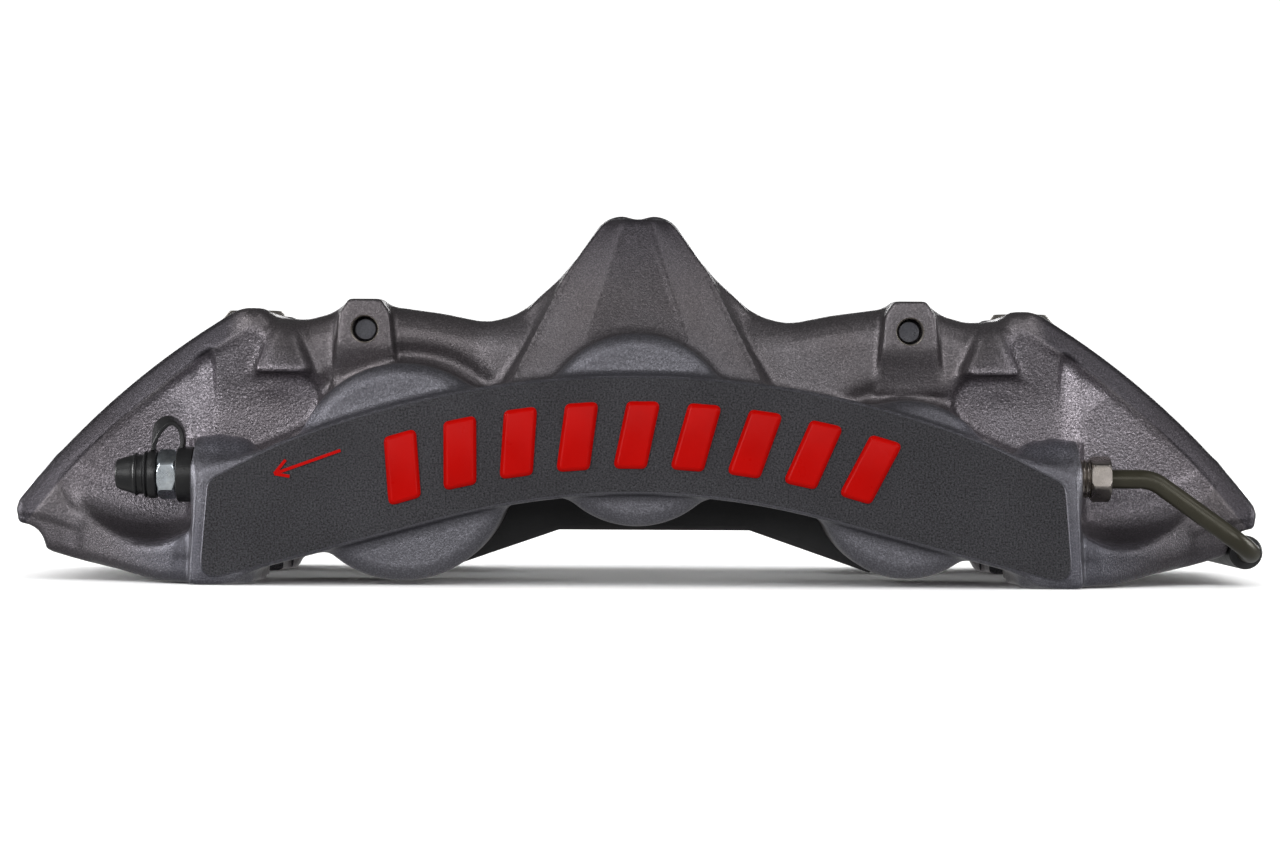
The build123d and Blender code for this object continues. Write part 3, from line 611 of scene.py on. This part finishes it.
# ---------------------------------------------------------------- materials
class Nodes:
    """A material's node tree with short ways to add to it."""

    def __init__(self, name, roughness, metallic=0.0, **sockets):
        self.material = bpy.data.materials.new(name)
        self.material.use_nodes = True
        self.tree = self.material.node_tree
        self.shader = self.tree.nodes["Principled BSDF"]
        self.shader.inputs["Roughness"].default_value = roughness
        self.shader.inputs["Metallic"].default_value = metallic
        for socket, value in sockets.items():
            self.shader.inputs[socket.replace("_", " ")].default_value = value
        self.place = self.add("ShaderNodeTexCoord").outputs["Object"]

    def add(self, kind, **settings):
        """A new node with those properties."""
        node = self.tree.nodes.new(kind)
        for key, value in settings.items():
            setattr(node, key, value)
        return node

    def link(self, a, b):
        """Joins an output to an input."""
        self.tree.links.new(a, b)
        return b

    def noise(self, size, detail=2.0, rough=0.5, stretch=None):
        """Noise whose features are about size metres across."""
        node = self.add("ShaderNodeTexNoise")
        node.inputs["Scale"].default_value = 1 / size
        node.inputs["Detail"].default_value = detail
        node.inputs["Roughness"].default_value = rough
        spot = self.place
        if stretch:
            mapping = self.add("ShaderNodeMapping")
            mapping.inputs["Scale"].default_value = stretch
            self.link(spot, mapping.inputs["Vector"])
            spot = mapping.outputs["Vector"]
        self.link(spot, node.inputs["Vector"])
        return node.outputs["Fac"]

    def ramp(self, source, *stops):
        """Colours at positions along a value."""
        node = self.add("ShaderNodeValToRGB")
        elements = node.color_ramp.elements
        while len(elements) < len(stops):
            elements.new(0.5)
        for element, (at, colour) in zip(elements, stops):
            element.position = at
            element.color = (*colour, 1) if len(colour) == 3 else colour
        self.link(source, node.inputs["Fac"])
        return node.outputs["Color"]

    def levels(self, source, low, high, to_low, to_high):
        """A value carried from one range to another, and held at its ends."""
        node = self.add("ShaderNodeMapRange")
        for socket, value in zip(("From Min", "From Max", "To Min", "To Max"), (low, high, to_low, to_high)):
            node.inputs[socket].default_value = value
        self.link(source, node.inputs["Value"])
        return node.outputs["Result"]

    def mix(self, a, b, factor, mode="MIX"):
        """Two colours mixed by a factor; the colour sockets follow the float and vector ones."""
        node = self.add("ShaderNodeMix", data_type="RGBA", blend_type=mode)
        for socket, value in ((0, factor), (6, a), (7, b)):
            self.feed(value, node.inputs[socket])
        return node.outputs[2]

    def maths(self, a, b, operation="MULTIPLY"):
        """Two values taken together: multiplied, unless another operation is named."""
        node = self.add("ShaderNodeMath", operation=operation)
        self.link(a, node.inputs[0])
        self.link(b, node.inputs[1])
        return node.outputs[0]

    def feed(self, value, socket):
        """Links an output to an input, or sets the input to a colour or number."""
        if isinstance(value, bpy.types.NodeSocket):
            self.link(value, socket)
        elif isinstance(value, tuple):
            socket.default_value = (*value, 1) if len(value) == 3 else value
        else:
            socket.default_value = value

    def bump(self, height, distance, strength=1.0, under=None):
        """Relief of that many metres, on top of another relief where one is given."""
        node = self.add("ShaderNodeBump")
        node.inputs["Strength"].default_value = strength
        node.inputs["Distance"].default_value = distance
        self.link(height, node.inputs["Height"])
        if under:
            self.link(under, node.inputs["Normal"])
        return node.outputs["Normal"]

    def finish(self, colour=None, roughness=None, normal=None):
        """Feeds the shader and gives back the material."""
        for source, socket in ((colour, "Base Color"), (roughness, "Roughness"), (normal, "Normal")):
            if source is not None:
                self.link(source, self.shader.inputs[socket])
        return self.material


def metal(
    name, dark, light, grain, rough,
    metallic=1.0, mottle=0.02, depth=0.0001, contrast=0.5, stretch=None,
):
    """Metal or paint with slow colour drift, a fine grain in colour and relief, and uneven gloss."""
    n = Nodes(name, sum(rough) / 2, metallic)
    drift = n.ramp(n.noise(mottle, 4), (0.32, dark), (0.68, light))
    fine = n.noise(grain, 3, 0.6, stretch)
    low, high = 1 - contrast, 1 + contrast
    speck = n.ramp(fine, (0.3, (low, low, low)), (0.5, (1, 1, 1)), (0.72, (high, high, high)))
    colour = n.mix(drift, speck, 1.0, "MULTIPLY")
    gloss = n.levels(n.noise(grain * 4, 3, 0.5, stretch), 0.3, 0.7, rough[0], rough[1])
    return n.finish(colour, gloss, n.bump(fine, depth, 0.7))


def cast_metal():
    """Dark anodised forging: warm in the shoulders, cooler on the housings, pebbled in the recesses; a
    painted highlight in the wing pockets, painted shade on the rim, the wings' foot and the bridge's top.
    """
    n = Nodes("cast", 0.5, 0.75)
    warm = n.ramp(n.noise(0.025, 5), (0.32, (0.142, 0.128, 0.134)), (0.68, (0.172, 0.160, 0.170)))
    cool = n.ramp(n.noise(0.020, 5), (0.32, (0.138, 0.136, 0.155)), (0.68, (0.170, 0.168, 0.189)))
    axes = n.add("ShaderNodeSeparateXYZ")
    n.link(n.place, axes.inputs[0])
    depth = n.add("ShaderNodeMath", operation="ABSOLUTE")
    n.link(axes.outputs["Y"], depth.inputs[0])
    colour = n.mix(warm, cool, n.levels(depth.outputs[0], 0.052, 0.066, 0, 1))
    zones = n.add("ShaderNodeSeparateColor")
    n.link(n.add("ShaderNodeAttribute", attribute_name="zones").outputs["Color"], zones.inputs[0])
    reach = n.add("ShaderNodeVectorMath", operation="MULTIPLY_ADD")
    reach.inputs[1].default_value = (1, 0, 1)
    reach.inputs[2].default_value = (0, 0, TIP_Z * MM)
    n.link(n.place, reach.inputs[0])
    far = n.add("ShaderNodeVectorMath", operation="LENGTH")
    n.link(reach.outputs[0], far.inputs[0])
    beyond = n.levels(far.outputs["Value"], (RIM_RADIUS - 0.2) * MM, (RIM_RADIUS + 0.3) * MM, 0, 1)
    sunk = n.maths(n.levels(depth.outputs[0], 0.0458, 0.0452, 0, 1), zones.outputs[2], "MAXIMUM")
    pebbled = n.maths(n.maths(zones.outputs[0], sunk), n.levels(beyond, 0, 1, 1, 0))
    # painted shade: the wheel side's rim outside the arc, which faces up and out, is drawn at about half
    # brightness
    rim = n.maths(zones.outputs[1], beyond)
    # pebbled recesses are drawn lighter for their blasted finish; the wing pockets' 2.0 against the
    # plateaus' 1.35 is a painted highlight
    recess_finish_and_painted_light = n.mix((2.0, 2.0, 2.08), (1.35, 1.35, 1.40), zones.outputs[2])
    colour = n.mix(colour, recess_finish_and_painted_light, pebbled, "MULTIPLY")
    colour = n.mix(colour, (0.48, 0.48, 0.52), rim, "MULTIPLY")
    height = axes.outputs["Z"]
    # painted shade: the wheel side's wing is drawn darker towards the floor, from 22 mm down to 10 mm
    foot = n.maths(zones.outputs[1], n.levels(height, 0.022, 0.010, 0, 1))
    colour = n.mix(colour, (0.72, 0.72, 0.75), foot, "MULTIPLY")
    # painted shade: above 72 mm, the top of the centre bridge, the colour is drawn darker
    colour = n.mix(colour, (0.60, 0.60, 0.66), n.levels(height, 0.072, 0.092, 0, 1), "MULTIPLY")
    grain = n.noise(0.00042, 2, 0.65)
    speck = n.ramp(grain, (0.34, (0.5, 0.5, 0.51)), (0.52, (1, 1, 1)), (0.70, (2.0, 1.98, 2.0)))
    colour = n.mix(colour, speck, n.levels(pebbled, 0, 1, 0.5, 0.85), "MULTIPLY")
    rough = n.levels(n.noise(0.0012, 3), 0.3, 0.7, 0.30, 0.44)
    pebble = n.maths(n.noise(0.0007, 1), n.levels(pebbled, 0, 1, 0.25, 1.0))
    normal = n.bump(pebble, 0.00024, 0.7)
    normal = n.bump(grain, 0.00018, 0.6, normal)
    return n.finish(colour, rough, normal)


def coated(name, dark, light, grain, rough, depth, flecks=None, **sockets):
    """Paint, rubber or compound: colour drift, grain and, where given, flecks as (size, share, colour)."""
    n = Nodes(name, sum(rough) / 2, 0.0, **sockets)
    colour = n.ramp(n.noise(0.015, 4), (0.32, dark), (0.68, light))
    fine = n.noise(grain, 3, 0.6)
    if flecks:
        size, share, fleck = flecks
        cells = n.add("ShaderNodeTexVoronoi", feature="F1")
        cells.inputs["Scale"].default_value = 1 / size
        n.link(n.place, cells.inputs["Vector"])
        picked = n.ramp(cells.outputs["Color"], (share, (1, 1, 1)), (share + 0.02, (0, 0, 0)))
        colour = n.mix(colour, fleck, picked)
    gloss = n.levels(n.noise(grain * 6, 3), 0.3, 0.7, rough[0], rough[1])
    return n.finish(colour, gloss, n.bump(fine, depth, 0.6))


METALS = {
    "milled": dict(
        dark=(0.040, 0.039, 0.044), light=(0.050, 0.049, 0.055), grain=0.00045,
        rough=(0.38, 0.54), metallic=0.6, depth=0.00020, contrast=0.9,
    ),
    "bare": dict(
        dark=(0.46, 0.42, 0.38), light=(0.68, 0.64, 0.58), grain=0.0004,
        rough=(0.24, 0.42), mottle=0.004, depth=0.00004, contrast=0.2, stretch=(1, 1, 10),
    ),
    "bored": dict(
        dark=(0.20, 0.19, 0.20), light=(0.28, 0.27, 0.28), grain=0.0005,
        rough=(0.22, 0.36), depth=0.00003, contrast=0.2, stretch=(1, 12, 1),
    ),
    "piston": dict(
        dark=(0.52, 0.51, 0.50), light=(0.64, 0.63, 0.62), grain=0.0005,
        rough=(0.2, 0.36), depth=0.00003, contrast=0.2, stretch=(1, 12, 1),
    ),
    "shim": dict(
        dark=(0.018, 0.018, 0.019), light=(0.028, 0.028, 0.03), grain=0.0004,
        rough=(0.4, 0.55), metallic=0.3, depth=0.00003, contrast=0.25, stretch=(1, 1, 14),
    ),
    "zinc": dict(
        dark=(0.78, 0.86, 0.93), light=(0.88, 0.94, 0.98), grain=0.0009,
        rough=(0.24, 0.36), mottle=0.003, depth=0.00001, contrast=0.12,
    ),
    "nut": dict(
        dark=(0.27, 0.245, 0.225), light=(0.33, 0.30, 0.28), grain=0.0006,
        rough=(0.24, 0.36), mottle=0.003, depth=0.00001, contrast=0.1,
    ),
    "stainless": dict(
        dark=(0.50, 0.50, 0.49), light=(0.64, 0.64, 0.62), grain=0.0004,
        rough=(0.22, 0.36), mottle=0.01, depth=0.00002, contrast=0.15, stretch=(1, 14, 1),
    ),
    "pin": dict(
        dark=(0.07, 0.07, 0.08), light=(0.10, 0.10, 0.11), grain=0.0005,
        rough=(0.25, 0.42), mottle=0.005, depth=0.00003, contrast=0.25,
    ),
}
COATINGS = {
    "seal": dict(
        dark=(0.018, 0.018, 0.019), light=(0.028, 0.028, 0.03), grain=0.0005,
        rough=(0.42, 0.6), depth=0.00003,
    ),
    "powder": dict(
        dark=(0.012, 0.012, 0.013), light=(0.02, 0.02, 0.021), grain=0.0007,
        rough=(0.38, 0.52), depth=0.00012,
    ),
    "friction": dict(
        dark=(0.035, 0.032, 0.030), light=(0.06, 0.054, 0.05), grain=0.0005,
        rough=(0.75, 0.95), depth=0.0003, flecks=(0.0011, 0.16, (0.34, 0.25, 0.17)),
    ),
    "rubber": dict(
        dark=(0.010, 0.010, 0.011), light=(0.020, 0.020, 0.021), grain=0.0006,
        rough=(0.30, 0.48), depth=0.00006,
    ),
    "olive": dict(
        dark=(0.046, 0.042, 0.027), light=(0.062, 0.057, 0.038), grain=0.0006,
        rough=(0.26, 0.42), depth=0.00003, Metallic=0.35,
    ),
    "red": dict(
        dark=(0.58, 0.0024, 0.0010), light=(0.66, 0.003, 0.0014), grain=0.0012,
        rough=(0.26, 0.36), depth=0.00003, Specular_IOR_Level=0.09,
    ),
}
LOOKS = {name: metal(name, **values) for name, values in METALS.items()}
LOOKS.update({name: coated(name, **values) for name, values in COATINGS.items()})

# the body's material slots after the cast one
MILLED, BARE, BORED = 1, 2, 3

body.data.materials.clear()
for made in (cast_metal(), LOOKS["milled"], LOOKS["bare"], LOOKS["bored"]):
    body.data.materials.append(made)


def paint_faces(obj):
    """Gives the milled band and rooms, the bare spot faces and the bores their own material slots."""
    mesh = obj.data
    count = len(mesh.polygons)
    spot, normal = np.zeros(count * 3, np.float32), np.zeros(count * 3, np.float32)
    mesh.polygons.foreach_get("center", spot)
    mesh.polygons.foreach_get("normal", normal)
    spot, normal = spot.reshape(-1, 3) / MM, normal.reshape(-1, 3)
    x, y, z = np.abs(spot[:, 0]), spot[:, 1], spot[:, 2]
    slot = np.zeros(count, np.int32)
    slot[(y < -BAND + 0.05) & (normal[:, 1] < -0.95)] = MILLED
    near_bolt = np.hypot(x - MOUNT_X, y - MOUNT_Y)
    slot[(near_bolt < 11) & (z > 67.1) & (normal[:, 2] > 0.5) & (y > 30)] = BARE
    slot[(near_bolt < 7) & (near_bolt > 5)] = BARE
    y = np.abs(y)
    for bore_x, bore_z, _, radius in BORES:
        near_bore = np.hypot(spot[:, 0] - bore_x, z - bore_z)
        slot[(near_bore < radius + 0.1) & (y > PADS_HALF + 0.1) & (y < 62.6)] = BORED
    slot[(np.hypot(x - PIN_X, z - PIN_Z) < 4.6) & (y < 48.9)] = BARE
    near_port = np.hypot(y - PORT_Y, z - PORT_Z)
    slot[((near_port < 5.7) & (x > 95.9)) | ((near_port < 8.05) & (x > 107.8) & (x < 108.9))] = BARE
    sides = (np.abs(y - PADS_HALF) < 0.05) | (np.abs(y - SLOT_HALF) < 0.05)
    slot[sides & (np.abs(normal[:, 1]) > 0.95)] = MILLED
    ends = (np.abs(x - PADS_END) < 0.05) & (y < PADS_HALF)
    slot[ends & (np.abs(normal[:, 0]) > 0.95)] = MILLED
    mesh.polygons.foreach_set("material_index", slot)


def mark_zones(obj):
    """Stores on the points which are pebbled recess, which are wing and which are not port block. The wing
    mask carries painted shade on the rim and foot; the pebbled one fades by the lip into painted shade.
    """
    mesh = obj.data
    spot = np.zeros(len(mesh.vertices) * 3, np.float32)
    mesh.vertices.foreach_get("co", spot)
    spot = spot.reshape(-1, 3).T / MM
    x, y, z = np.abs(spot)
    # the pebbled mask fades to 0.15 towards the lip: less grain there, and less lightening, which draws the
    # cove above the lip darker as painted shade
    wing = (polygon(x, z, WING_POCKET) < 2.0) * (0.15 + 0.85 * smooth(z - eased(x, LIP_X, LIP_Z), 1, 12))
    upper = smooth(-polygon(x, z, PLATEAU), -4, 1)
    pebbled = np.maximum(wing, upper) * smooth(y, 38, 40)
    # wing on the wheel side; the cast material uses it for painted shade on the rim and at the foot
    rim = smooth(x, 98, 104) * smooth(-spot[1], 30, 34)
    zones = np.stack([pebbled, rim, 1 - smooth(x, 105.5, 108.5), 0 * rim + 1], axis=1)
    made = mesh.attributes.new("zones", "FLOAT_COLOR", "POINT")
    made.data.foreach_set("color", zones.astype(np.float32).ravel())


paint_faces(body)
mark_zones(body)

# ---------------------------------------------------------------- the small parts
def show(obj, name, body_name, look, slot_name, *nodes):
    """Names a piece, gives it a look and lets it stand for CAD nodes."""
    obj.name = obj.data.name = name
    obj.data.materials.clear()
    obj.data.materials.append(LOOKS[look])
    obj.data.shade_smooth()
    obj.data.set_sharp_from_angle(angle=math.radians(35))
    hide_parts(*nodes)
    if body_name:
        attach(obj, body_name)
    return obj


def looped(name, stations, sides=96):
    """Closed tube along X: stations list (x, radius or function of the angle), round to the first again."""
    verts = []
    for x, centre_y, centre_z, radius in stations:
        for i in range(sides):
            a = 2 * math.pi * i / sides
            r = radius(a, x) if callable(radius) else radius
            verts.append((x, centre_y + r * math.cos(a), centre_z + r * math.sin(a)))
    faces = []
    for level in range(len(stations)):
        low, high = level * sides, (level + 1) % len(stations) * sides
        faces += [(low + i, low + (i + 1) % sides, high + (i + 1) % sides, high + i) for i in range(sides)]
    return closed_mesh(name, verts, faces)


def hexagon(flats, turn, low, high, chamfer=0.7):
    """Radius of a hexagon whose corners are turned off at both ends."""
    corner = flats / math.sqrt(3)

    def radius(a, x):
        off = (a - turn) % (math.pi / 3) - math.pi / 6
        inner = min(x - low, high - x)
        cone = flats / 2 + 0.1 + (corner - flats / 2) * min(inner / chamfer, 1)
        return min(flats / 2 / math.cos(off), cone, corner * 0.985)

    return radius


def thread(size, pitch=1.25, depth=0.45):
    """Radius of a screw thread."""

    def radius(a, x):
        t = (x / pitch - a / (2 * math.pi)) % 1
        return size - depth * min(abs(2 * t - 1) * 1.3, 1)

    return radius


def fine(low, high, step):
    """Stations between two ends, about a step apart."""
    return [float(v) for v in np.linspace(low, high, max(2, int(abs(high - low) / step) + 1))]


def bleeder(side, half):
    """Plated bleed screw: thread, hexagon, neck and nipple, drilled through."""
    y, z, face = side * PORT_Y, PORT_Z, -PORT_X
    near, far = face - 2.6, face - 7.1
    shape = hexagon(11, math.radians(36), far, near, 0.9)
    stations = [(x, y, z, thread(4.95)) for x in fine(face + 12, face + 0.6, 0.3)]
    stations += [(face + 0.5, y, z, 4.2), (near + 0.001, y, z, 4.2)]
    stations += [(x, y, z, shape) for x in fine(near, far, 0.25)]
    nipple = [(0.001, 3.6), (0.5, 3.0), (3.2, 2.6), (4.2, 2.9), (5.2, 2.8), (6.4, 2.3), (6.4, 1.0)]
    stations += [(far - w, y, z, r) for w, r in nipple]
    stations += [(face + 12, y, z, 1.0)]
    node = f"{half}_bleed_screw"
    return show(looped("screw", stations), f"{half}_bleeder", node, "zinc", "zinc_steel", node)


def rubber_cap(side, half):
    """Cap over the nipple: a band, two beads with grooves between them, and a taper."""
    y, z, start = side * PORT_Y, PORT_Z, -PORT_X - 7.3
    profile = [(0.0, 5.3), (0.15, 5.8), (0.4, 6.0), (1.9, 6.0), (2.15, 5.85), (2.3, 5.45)]
    profile += [(2.5, 5.35), (2.65, 5.6), (2.85, 5.78), (3.1, 5.75), (3.35, 5.4), (3.6, 5.0)]
    profile += [(4.0, 4.9), (4.8, 4.92), (5.05, 5.2), (5.3, 5.32), (5.55, 5.28), (5.8, 5.0)]
    profile += [(6.0, 4.85), (7.2, 4.5), (8.6, 4.05), (9.7, 3.68), (10.1, 3.5), (10.35, 3.1)]
    profile += [(10.4, 2.7), (10.4, 0.02), (7.2, 0.02), (7.2, 2.6), (6.6, 3.1), (0.0, 3.4)]
    stations = [(start - w, y, z, r) for w, r in profile]
    node = f"{half}_bleed_cap"
    return show(looped("cap", stations), f"{half}_rubber_cap", node, "rubber", "black_rubber", node)


def strap(side, half):
    """Moulded ring on the screw's neck, and the flat strap that arches and twists over to the cap."""
    y, z, face = side * PORT_Y, PORT_Z, -PORT_X
    ring = [(-1.7, 4.6), (-1.7, 6.5), (-1.45, 6.85), (2.2, 6.85), (2.45, 6.5), (2.45, 4.6)]
    obj = looped("strap", [(face - w, y, z, r) for w, r in ring])
    middle = [(-1.5, 6.2), (-1.1, 8.2), (-1.5, 11.0), (-3.0, 13.0), (-5.2, 13.3)]
    middle += [(-7.2, 11.8), (-8.1, 9.0), (-8.4, 7.2), (-8.5, 6.0)]
    turns = [0, 0, 4, 12, 26, 30, 18, 6, 0]
    widths = [2.0, 1.9, 1.9, 2.2, 2.7, 2.9, 2.6, 2.3, 2.3]
    steps = 40
    keys = np.linspace(0, 1, len(middle))
    t = np.linspace(0, 1, steps)

    def along(values):
        """Values at the steps, eased by three passes of averaging."""
        out = np.interp(t, keys, values)
        for _ in range(3):
            out[1:-1] = (out[:-2] + 2 * out[1:-1] + out[2:]) / 4
        return out

    px, pz = along([m[0] for m in middle]), along([m[1] for m in middle])
    turn, width = np.radians(along(turns)), along(widths)
    section = [(math.cos(a), math.sin(a)) for a in np.linspace(0, 2 * math.pi, 17)[:-1]]
    rings = []
    for i in range(steps):
        j, k = max(i - 1, 0), min(i + 1, steps - 1)
        ahead = Vector((px[k] - px[j], 0, pz[k] - pz[j])).normalized()
        across = Vector((0, 1, 0)) * math.cos(turn[i]) + Vector((0, 1, 0)).cross(ahead) * math.sin(turn[i])
        out = across.cross(ahead)
        spot = Vector((face + px[i], y, z + pz[i]))
        rings.append([
            spot
            + across * width[i] * math.copysign(abs(c) ** 0.35, c)
            + out * 0.6 * math.copysign(abs(n) ** 0.5, n)
            for c, n in section
        ])
    combine(obj, shells("arch", [rings]), "UNION")
    obj = show(obj, f"{half}_strap", None, "rubber", "black_rubber", f"{half}_cap_strap")
    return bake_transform(obj)


def flare_nut(side, half):
    """Nut on the pipe's end: thread and hexagon, bored for the pipe."""
    y, z, face = side * PORT_Y, PORT_Z, PORT_X
    low, high = face + 1.2, face + 6.1
    shape = hexagon(10, math.radians(22), low, high, 0.8)
    stations = [(x, y, z, thread(4.95, 1.0, 0.4)) for x in fine(face - 10.5, face + 1.0, 0.25)]
    stations += [(low - 0.001, y, z, 4.5)]
    stations += [(x, y, z, shape) for x in fine(low, high, 0.25)]
    stations += [(high + 0.001, y, z, 4.6), (high, y, z, 2.9), (high - 0.5, y, z, 2.48)]
    stations += [(face - 10.5, y, z, 2.48)]
    nut = looped("nut", stations)
    return show(nut, f"{half}_flare_nut", "caliper", "nut", "nut_steel", f"{half}_pipe_nut")


def bars():
    """Slanted bars with rounded corners and a wide bevel, as if cut from enamelled plate."""
    centre_z = 37.2 - 205.0
    made = []
    for index in range(9):
        turn = math.radians((index - 4) * 4.05)
        outline = [(-5.8, -8.25), (2.4, -8.25), (5.8, 8.25), (-2.4, 8.25)]
        outline = rounded(outline, 1.6, 8)
        spot = (205.0 * math.sin(turn), centre_z + 205.0 * math.cos(turn))
        c, n = math.cos(-turn), math.sin(-turn)
        outline = [(spot[0] + u * c - v * n, spot[1] + u * n + v * c) for u, v in outline]
        levels = [(-71.9, 0), (-72.35, 0), (-72.55, 0.06), (-73.0, 0.62), (-73.13, 0.8), (-73.2, 1.05)]
        made.append(prism("y", outline, levels))
    return show(shells("bars", made), "enamel_bars", "caliper", "red", "red_paint", "emblem_bars")


def bent_route(corners, bend):
    """Points of a route with each corner bent round that radius."""
    path = [corners[0]]
    for before, at, after in zip(corners, corners[1:], corners[2:]):
        a, b = (before - at).normalized(), (after - at).normalized()
        half_turn = (math.pi - a.angle(b)) / 2
        middle = at + (a + b).normalized() * bend / math.cos(half_turn)
        start, end = at + a * bend * math.tan(half_turn), at + b * bend * math.tan(half_turn)
        for k in range(13):
            spoke = (start - middle).lerp(end - middle, k / 12)
            path.append(middle + spoke.normalized() * bend)
    return path + [corners[-1]]


def bent_pipe():
    """Rigid brake pipe from nut to nut round the tip, and the rubber sleeve on it."""
    low_x, low_z = 153.4, 8.4
    side = [(105, PORT_Z), (127.5, PORT_Z), (low_x, low_z)]
    corners = [Vector((x, -PORT_Y, z)) for x, z in side]
    corners += [Vector((x, PORT_Y, z)) for x, z in reversed(side)]
    path = bent_route(corners, 9.0)
    turns = [2 * math.pi * k / 40 for k in range(40)]
    rings, up = [], Vector((0, 0, 1))
    for i, spot in enumerate(path):
        ahead = (path[min(i + 1, len(path) - 1)] - path[max(i - 1, 0)]).normalized()
        up = (up - ahead * up.dot(ahead)).normalized()
        across = ahead.cross(up)
        rings.append([spot + (up * math.cos(a) + across * math.sin(a)) * 2.375 for a in turns])
    show(shells("pipe", [rings]), "brake_pipe", "caliper", "olive", "olive_pipe", "crossover_pipe")
    half = [(44.0, 2.5), (44.0, 3.9), (43.6, 4.25), (42.8, 4.3)]
    profile = [(-w, r) for w, r in half] + half[::-1]
    sleeve = shells("sleeve", [turned("y", low_x, low_z, profile, 64)])
    return show(sleeve, "rubber_sleeve", "caliper", "rubber", "black_rubber", "pipe_sleeve")


bent_pipe()
for side, half in ((-1, "outer"), (1, "inner")):
    bleeder(side, half)
    rubber_cap(side, half)
    strap(side, half)
    flare_nut(side, half)
bars()

# ---------------------------------------------------------------- looks of the CAD nodes
# the first of these words found in a node's name picks its look
WORDS = (
    ("caliper_body", "milled"), ("wiper", "seal"), ("seal", "seal"), ("piston", "piston"),
    ("backing", "powder"), ("friction", "friction"), ("shim", "shim"), ("bleed_screw", "zinc"),
    ("cap", "rubber"), ("nut", "nut"), ("screws", "zinc"), ("wear", "stainless"),
    ("pin_sleeve", "stainless"), ("pad_pin", "pin"), ("spring", "stainless"),
    ("pipe_sleeve", "rubber"), ("pipe", "olive"), ("emblem", "red"), ("arrow", "red"),
)
for name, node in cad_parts.items():
    look = LOOKS[next(look for word, look in WORDS if word in name)]
    if not node.data.materials:
        node.data.materials.append(look)
    for index in range(len(node.data.materials)):
        node.data.materials[index] = look


# ---------------------------------------------------------------- floor, camera, light
TARGET = (0, 0, 0.04)
LIGHTS = (
    ("edge left", (-1.4, 0.15, 0.25), TARGET, 0.5, 0.5, 8),
    ("edge right", (1.4, 0.15, 0.25), TARGET, 0.5, 0.5, 6),
    ("key left", (-1.3, -1.7, 0.45), TARGET, 1.0, 0.8, 14),
    ("key right", (1.3, -1.7, 0.45), TARGET, 1.0, 0.8, 9),
    ("front", (-0.2, -2.4, 0.60), (0, 0, 0.05), 2.0, 0.8, 9),
    ("high left", (-0.95, -0.6, 1.15), TARGET, 0.6, 0.6, 2.4),
    ("high right", (0.95, -0.6, 1.15), TARGET, 0.6, 0.6, 2.4),
    ("back", (0, 1.6, 0.25), TARGET, 1.6, 0.4, 8),
)


def area(name, at, to, size_x, size_y, power):
    """Rectangular light in metres and watts."""
    data = bpy.data.lights.new(name, "AREA")
    data.shape = "RECTANGLE"
    data.size, data.size_y, data.energy = size_x, size_y, power
    obj = bpy.data.objects.new(name, data)
    obj.location = at
    obj.rotation_euler = (Vector(to) - Vector(at)).to_track_quat("-Z", "Y").to_euler()
    bpy.context.scene.collection.objects.link(obj)
    return obj


def studio_world():
    """White where the camera looks past the object; on the object a dim room with a paler floor."""
    world = bpy.data.worlds.new("world")
    bpy.context.scene.world = world
    world.use_nodes = True
    tree = world.node_tree
    sky = tree.nodes["Background"]

    def eased_range(source, *values):
        node = tree.nodes.new("ShaderNodeMapRange")
        node.interpolation_type = "SMOOTHSTEP"
        for socket, value in zip(("From Min", "From Max", "To Min", "To Max"), values):
            node.inputs[socket].default_value = value
        tree.links.new(source, node.inputs["Value"])
        return node.outputs["Result"]

    where = tree.nodes.new("ShaderNodeTexCoord")
    split = tree.nodes.new("ShaderNodeSeparateXYZ")
    tree.links.new(where.outputs["Generated"], split.inputs[0])
    seen = tree.nodes.new("ShaderNodeLightPath")
    brighter = tree.nodes.new("ShaderNodeMath")
    brighter.operation = "MAXIMUM"
    tree.links.new(eased_range(split.outputs["Z"], -0.35, 0.05, 0.36, 0.10), brighter.inputs[0])
    tree.links.new(eased_range(seen.outputs["Is Camera Ray"], 0, 1, 0, 1.15), brighter.inputs[1])
    tree.links.new(brighter.outputs[0], sky.inputs["Strength"])
    sky.inputs["Color"].default_value = (1, 1, 1, 1)


def pale_floor():
    """Plain floor, left out of the light and reflections that reach the object."""
    bpy.ops.mesh.primitive_plane_add(size=30, location=(0, 0, 0))
    plane = bpy.context.object
    plane.name = "floor"
    n = Nodes("floor", 0.85, 0.0)
    pale = n.ramp(n.noise(0.4, 4), (0.3, (0.88, 0.88, 0.88)), (0.7, (0.90, 0.90, 0.90)))
    plane.data.materials.append(n.finish(pale))
    return plane


def camera():
    """Square on from the wheel side, a metre away, rolled a little as the photograph is."""
    frame_pixels, focal_pixels, sensor = 1280, 3800, 36
    data = bpy.data.cameras.new("camera")
    data.sensor_width = sensor
    data.lens = focal_pixels / frame_pixels * sensor
    obj = bpy.data.objects.new("camera", data)
    bpy.context.scene.collection.objects.link(obj)
    obj.location = (0.0008, -1.0, 0.0393)
    obj.rotation_euler = (math.radians(90), math.radians(-0.3), 0)
    bpy.context.scene.camera = obj


bpy.context.scene.view_settings.view_transform = "Standard"
studio_world()
floor = pale_floor()
floor.visible_diffuse = floor.visible_glossy = False
for light in LIGHTS:
    area(*light)
# a wide light for the floor alone, so that it reads white around the dark part
table_light = area("table", (0, 0, 12), (0, 0, 0), 80.0, 80.0, 25000)
lit = bpy.data.collections.new("lit")
lit.objects.link(floor)
table_light.light_linking.receiver_collection = lit
camera()
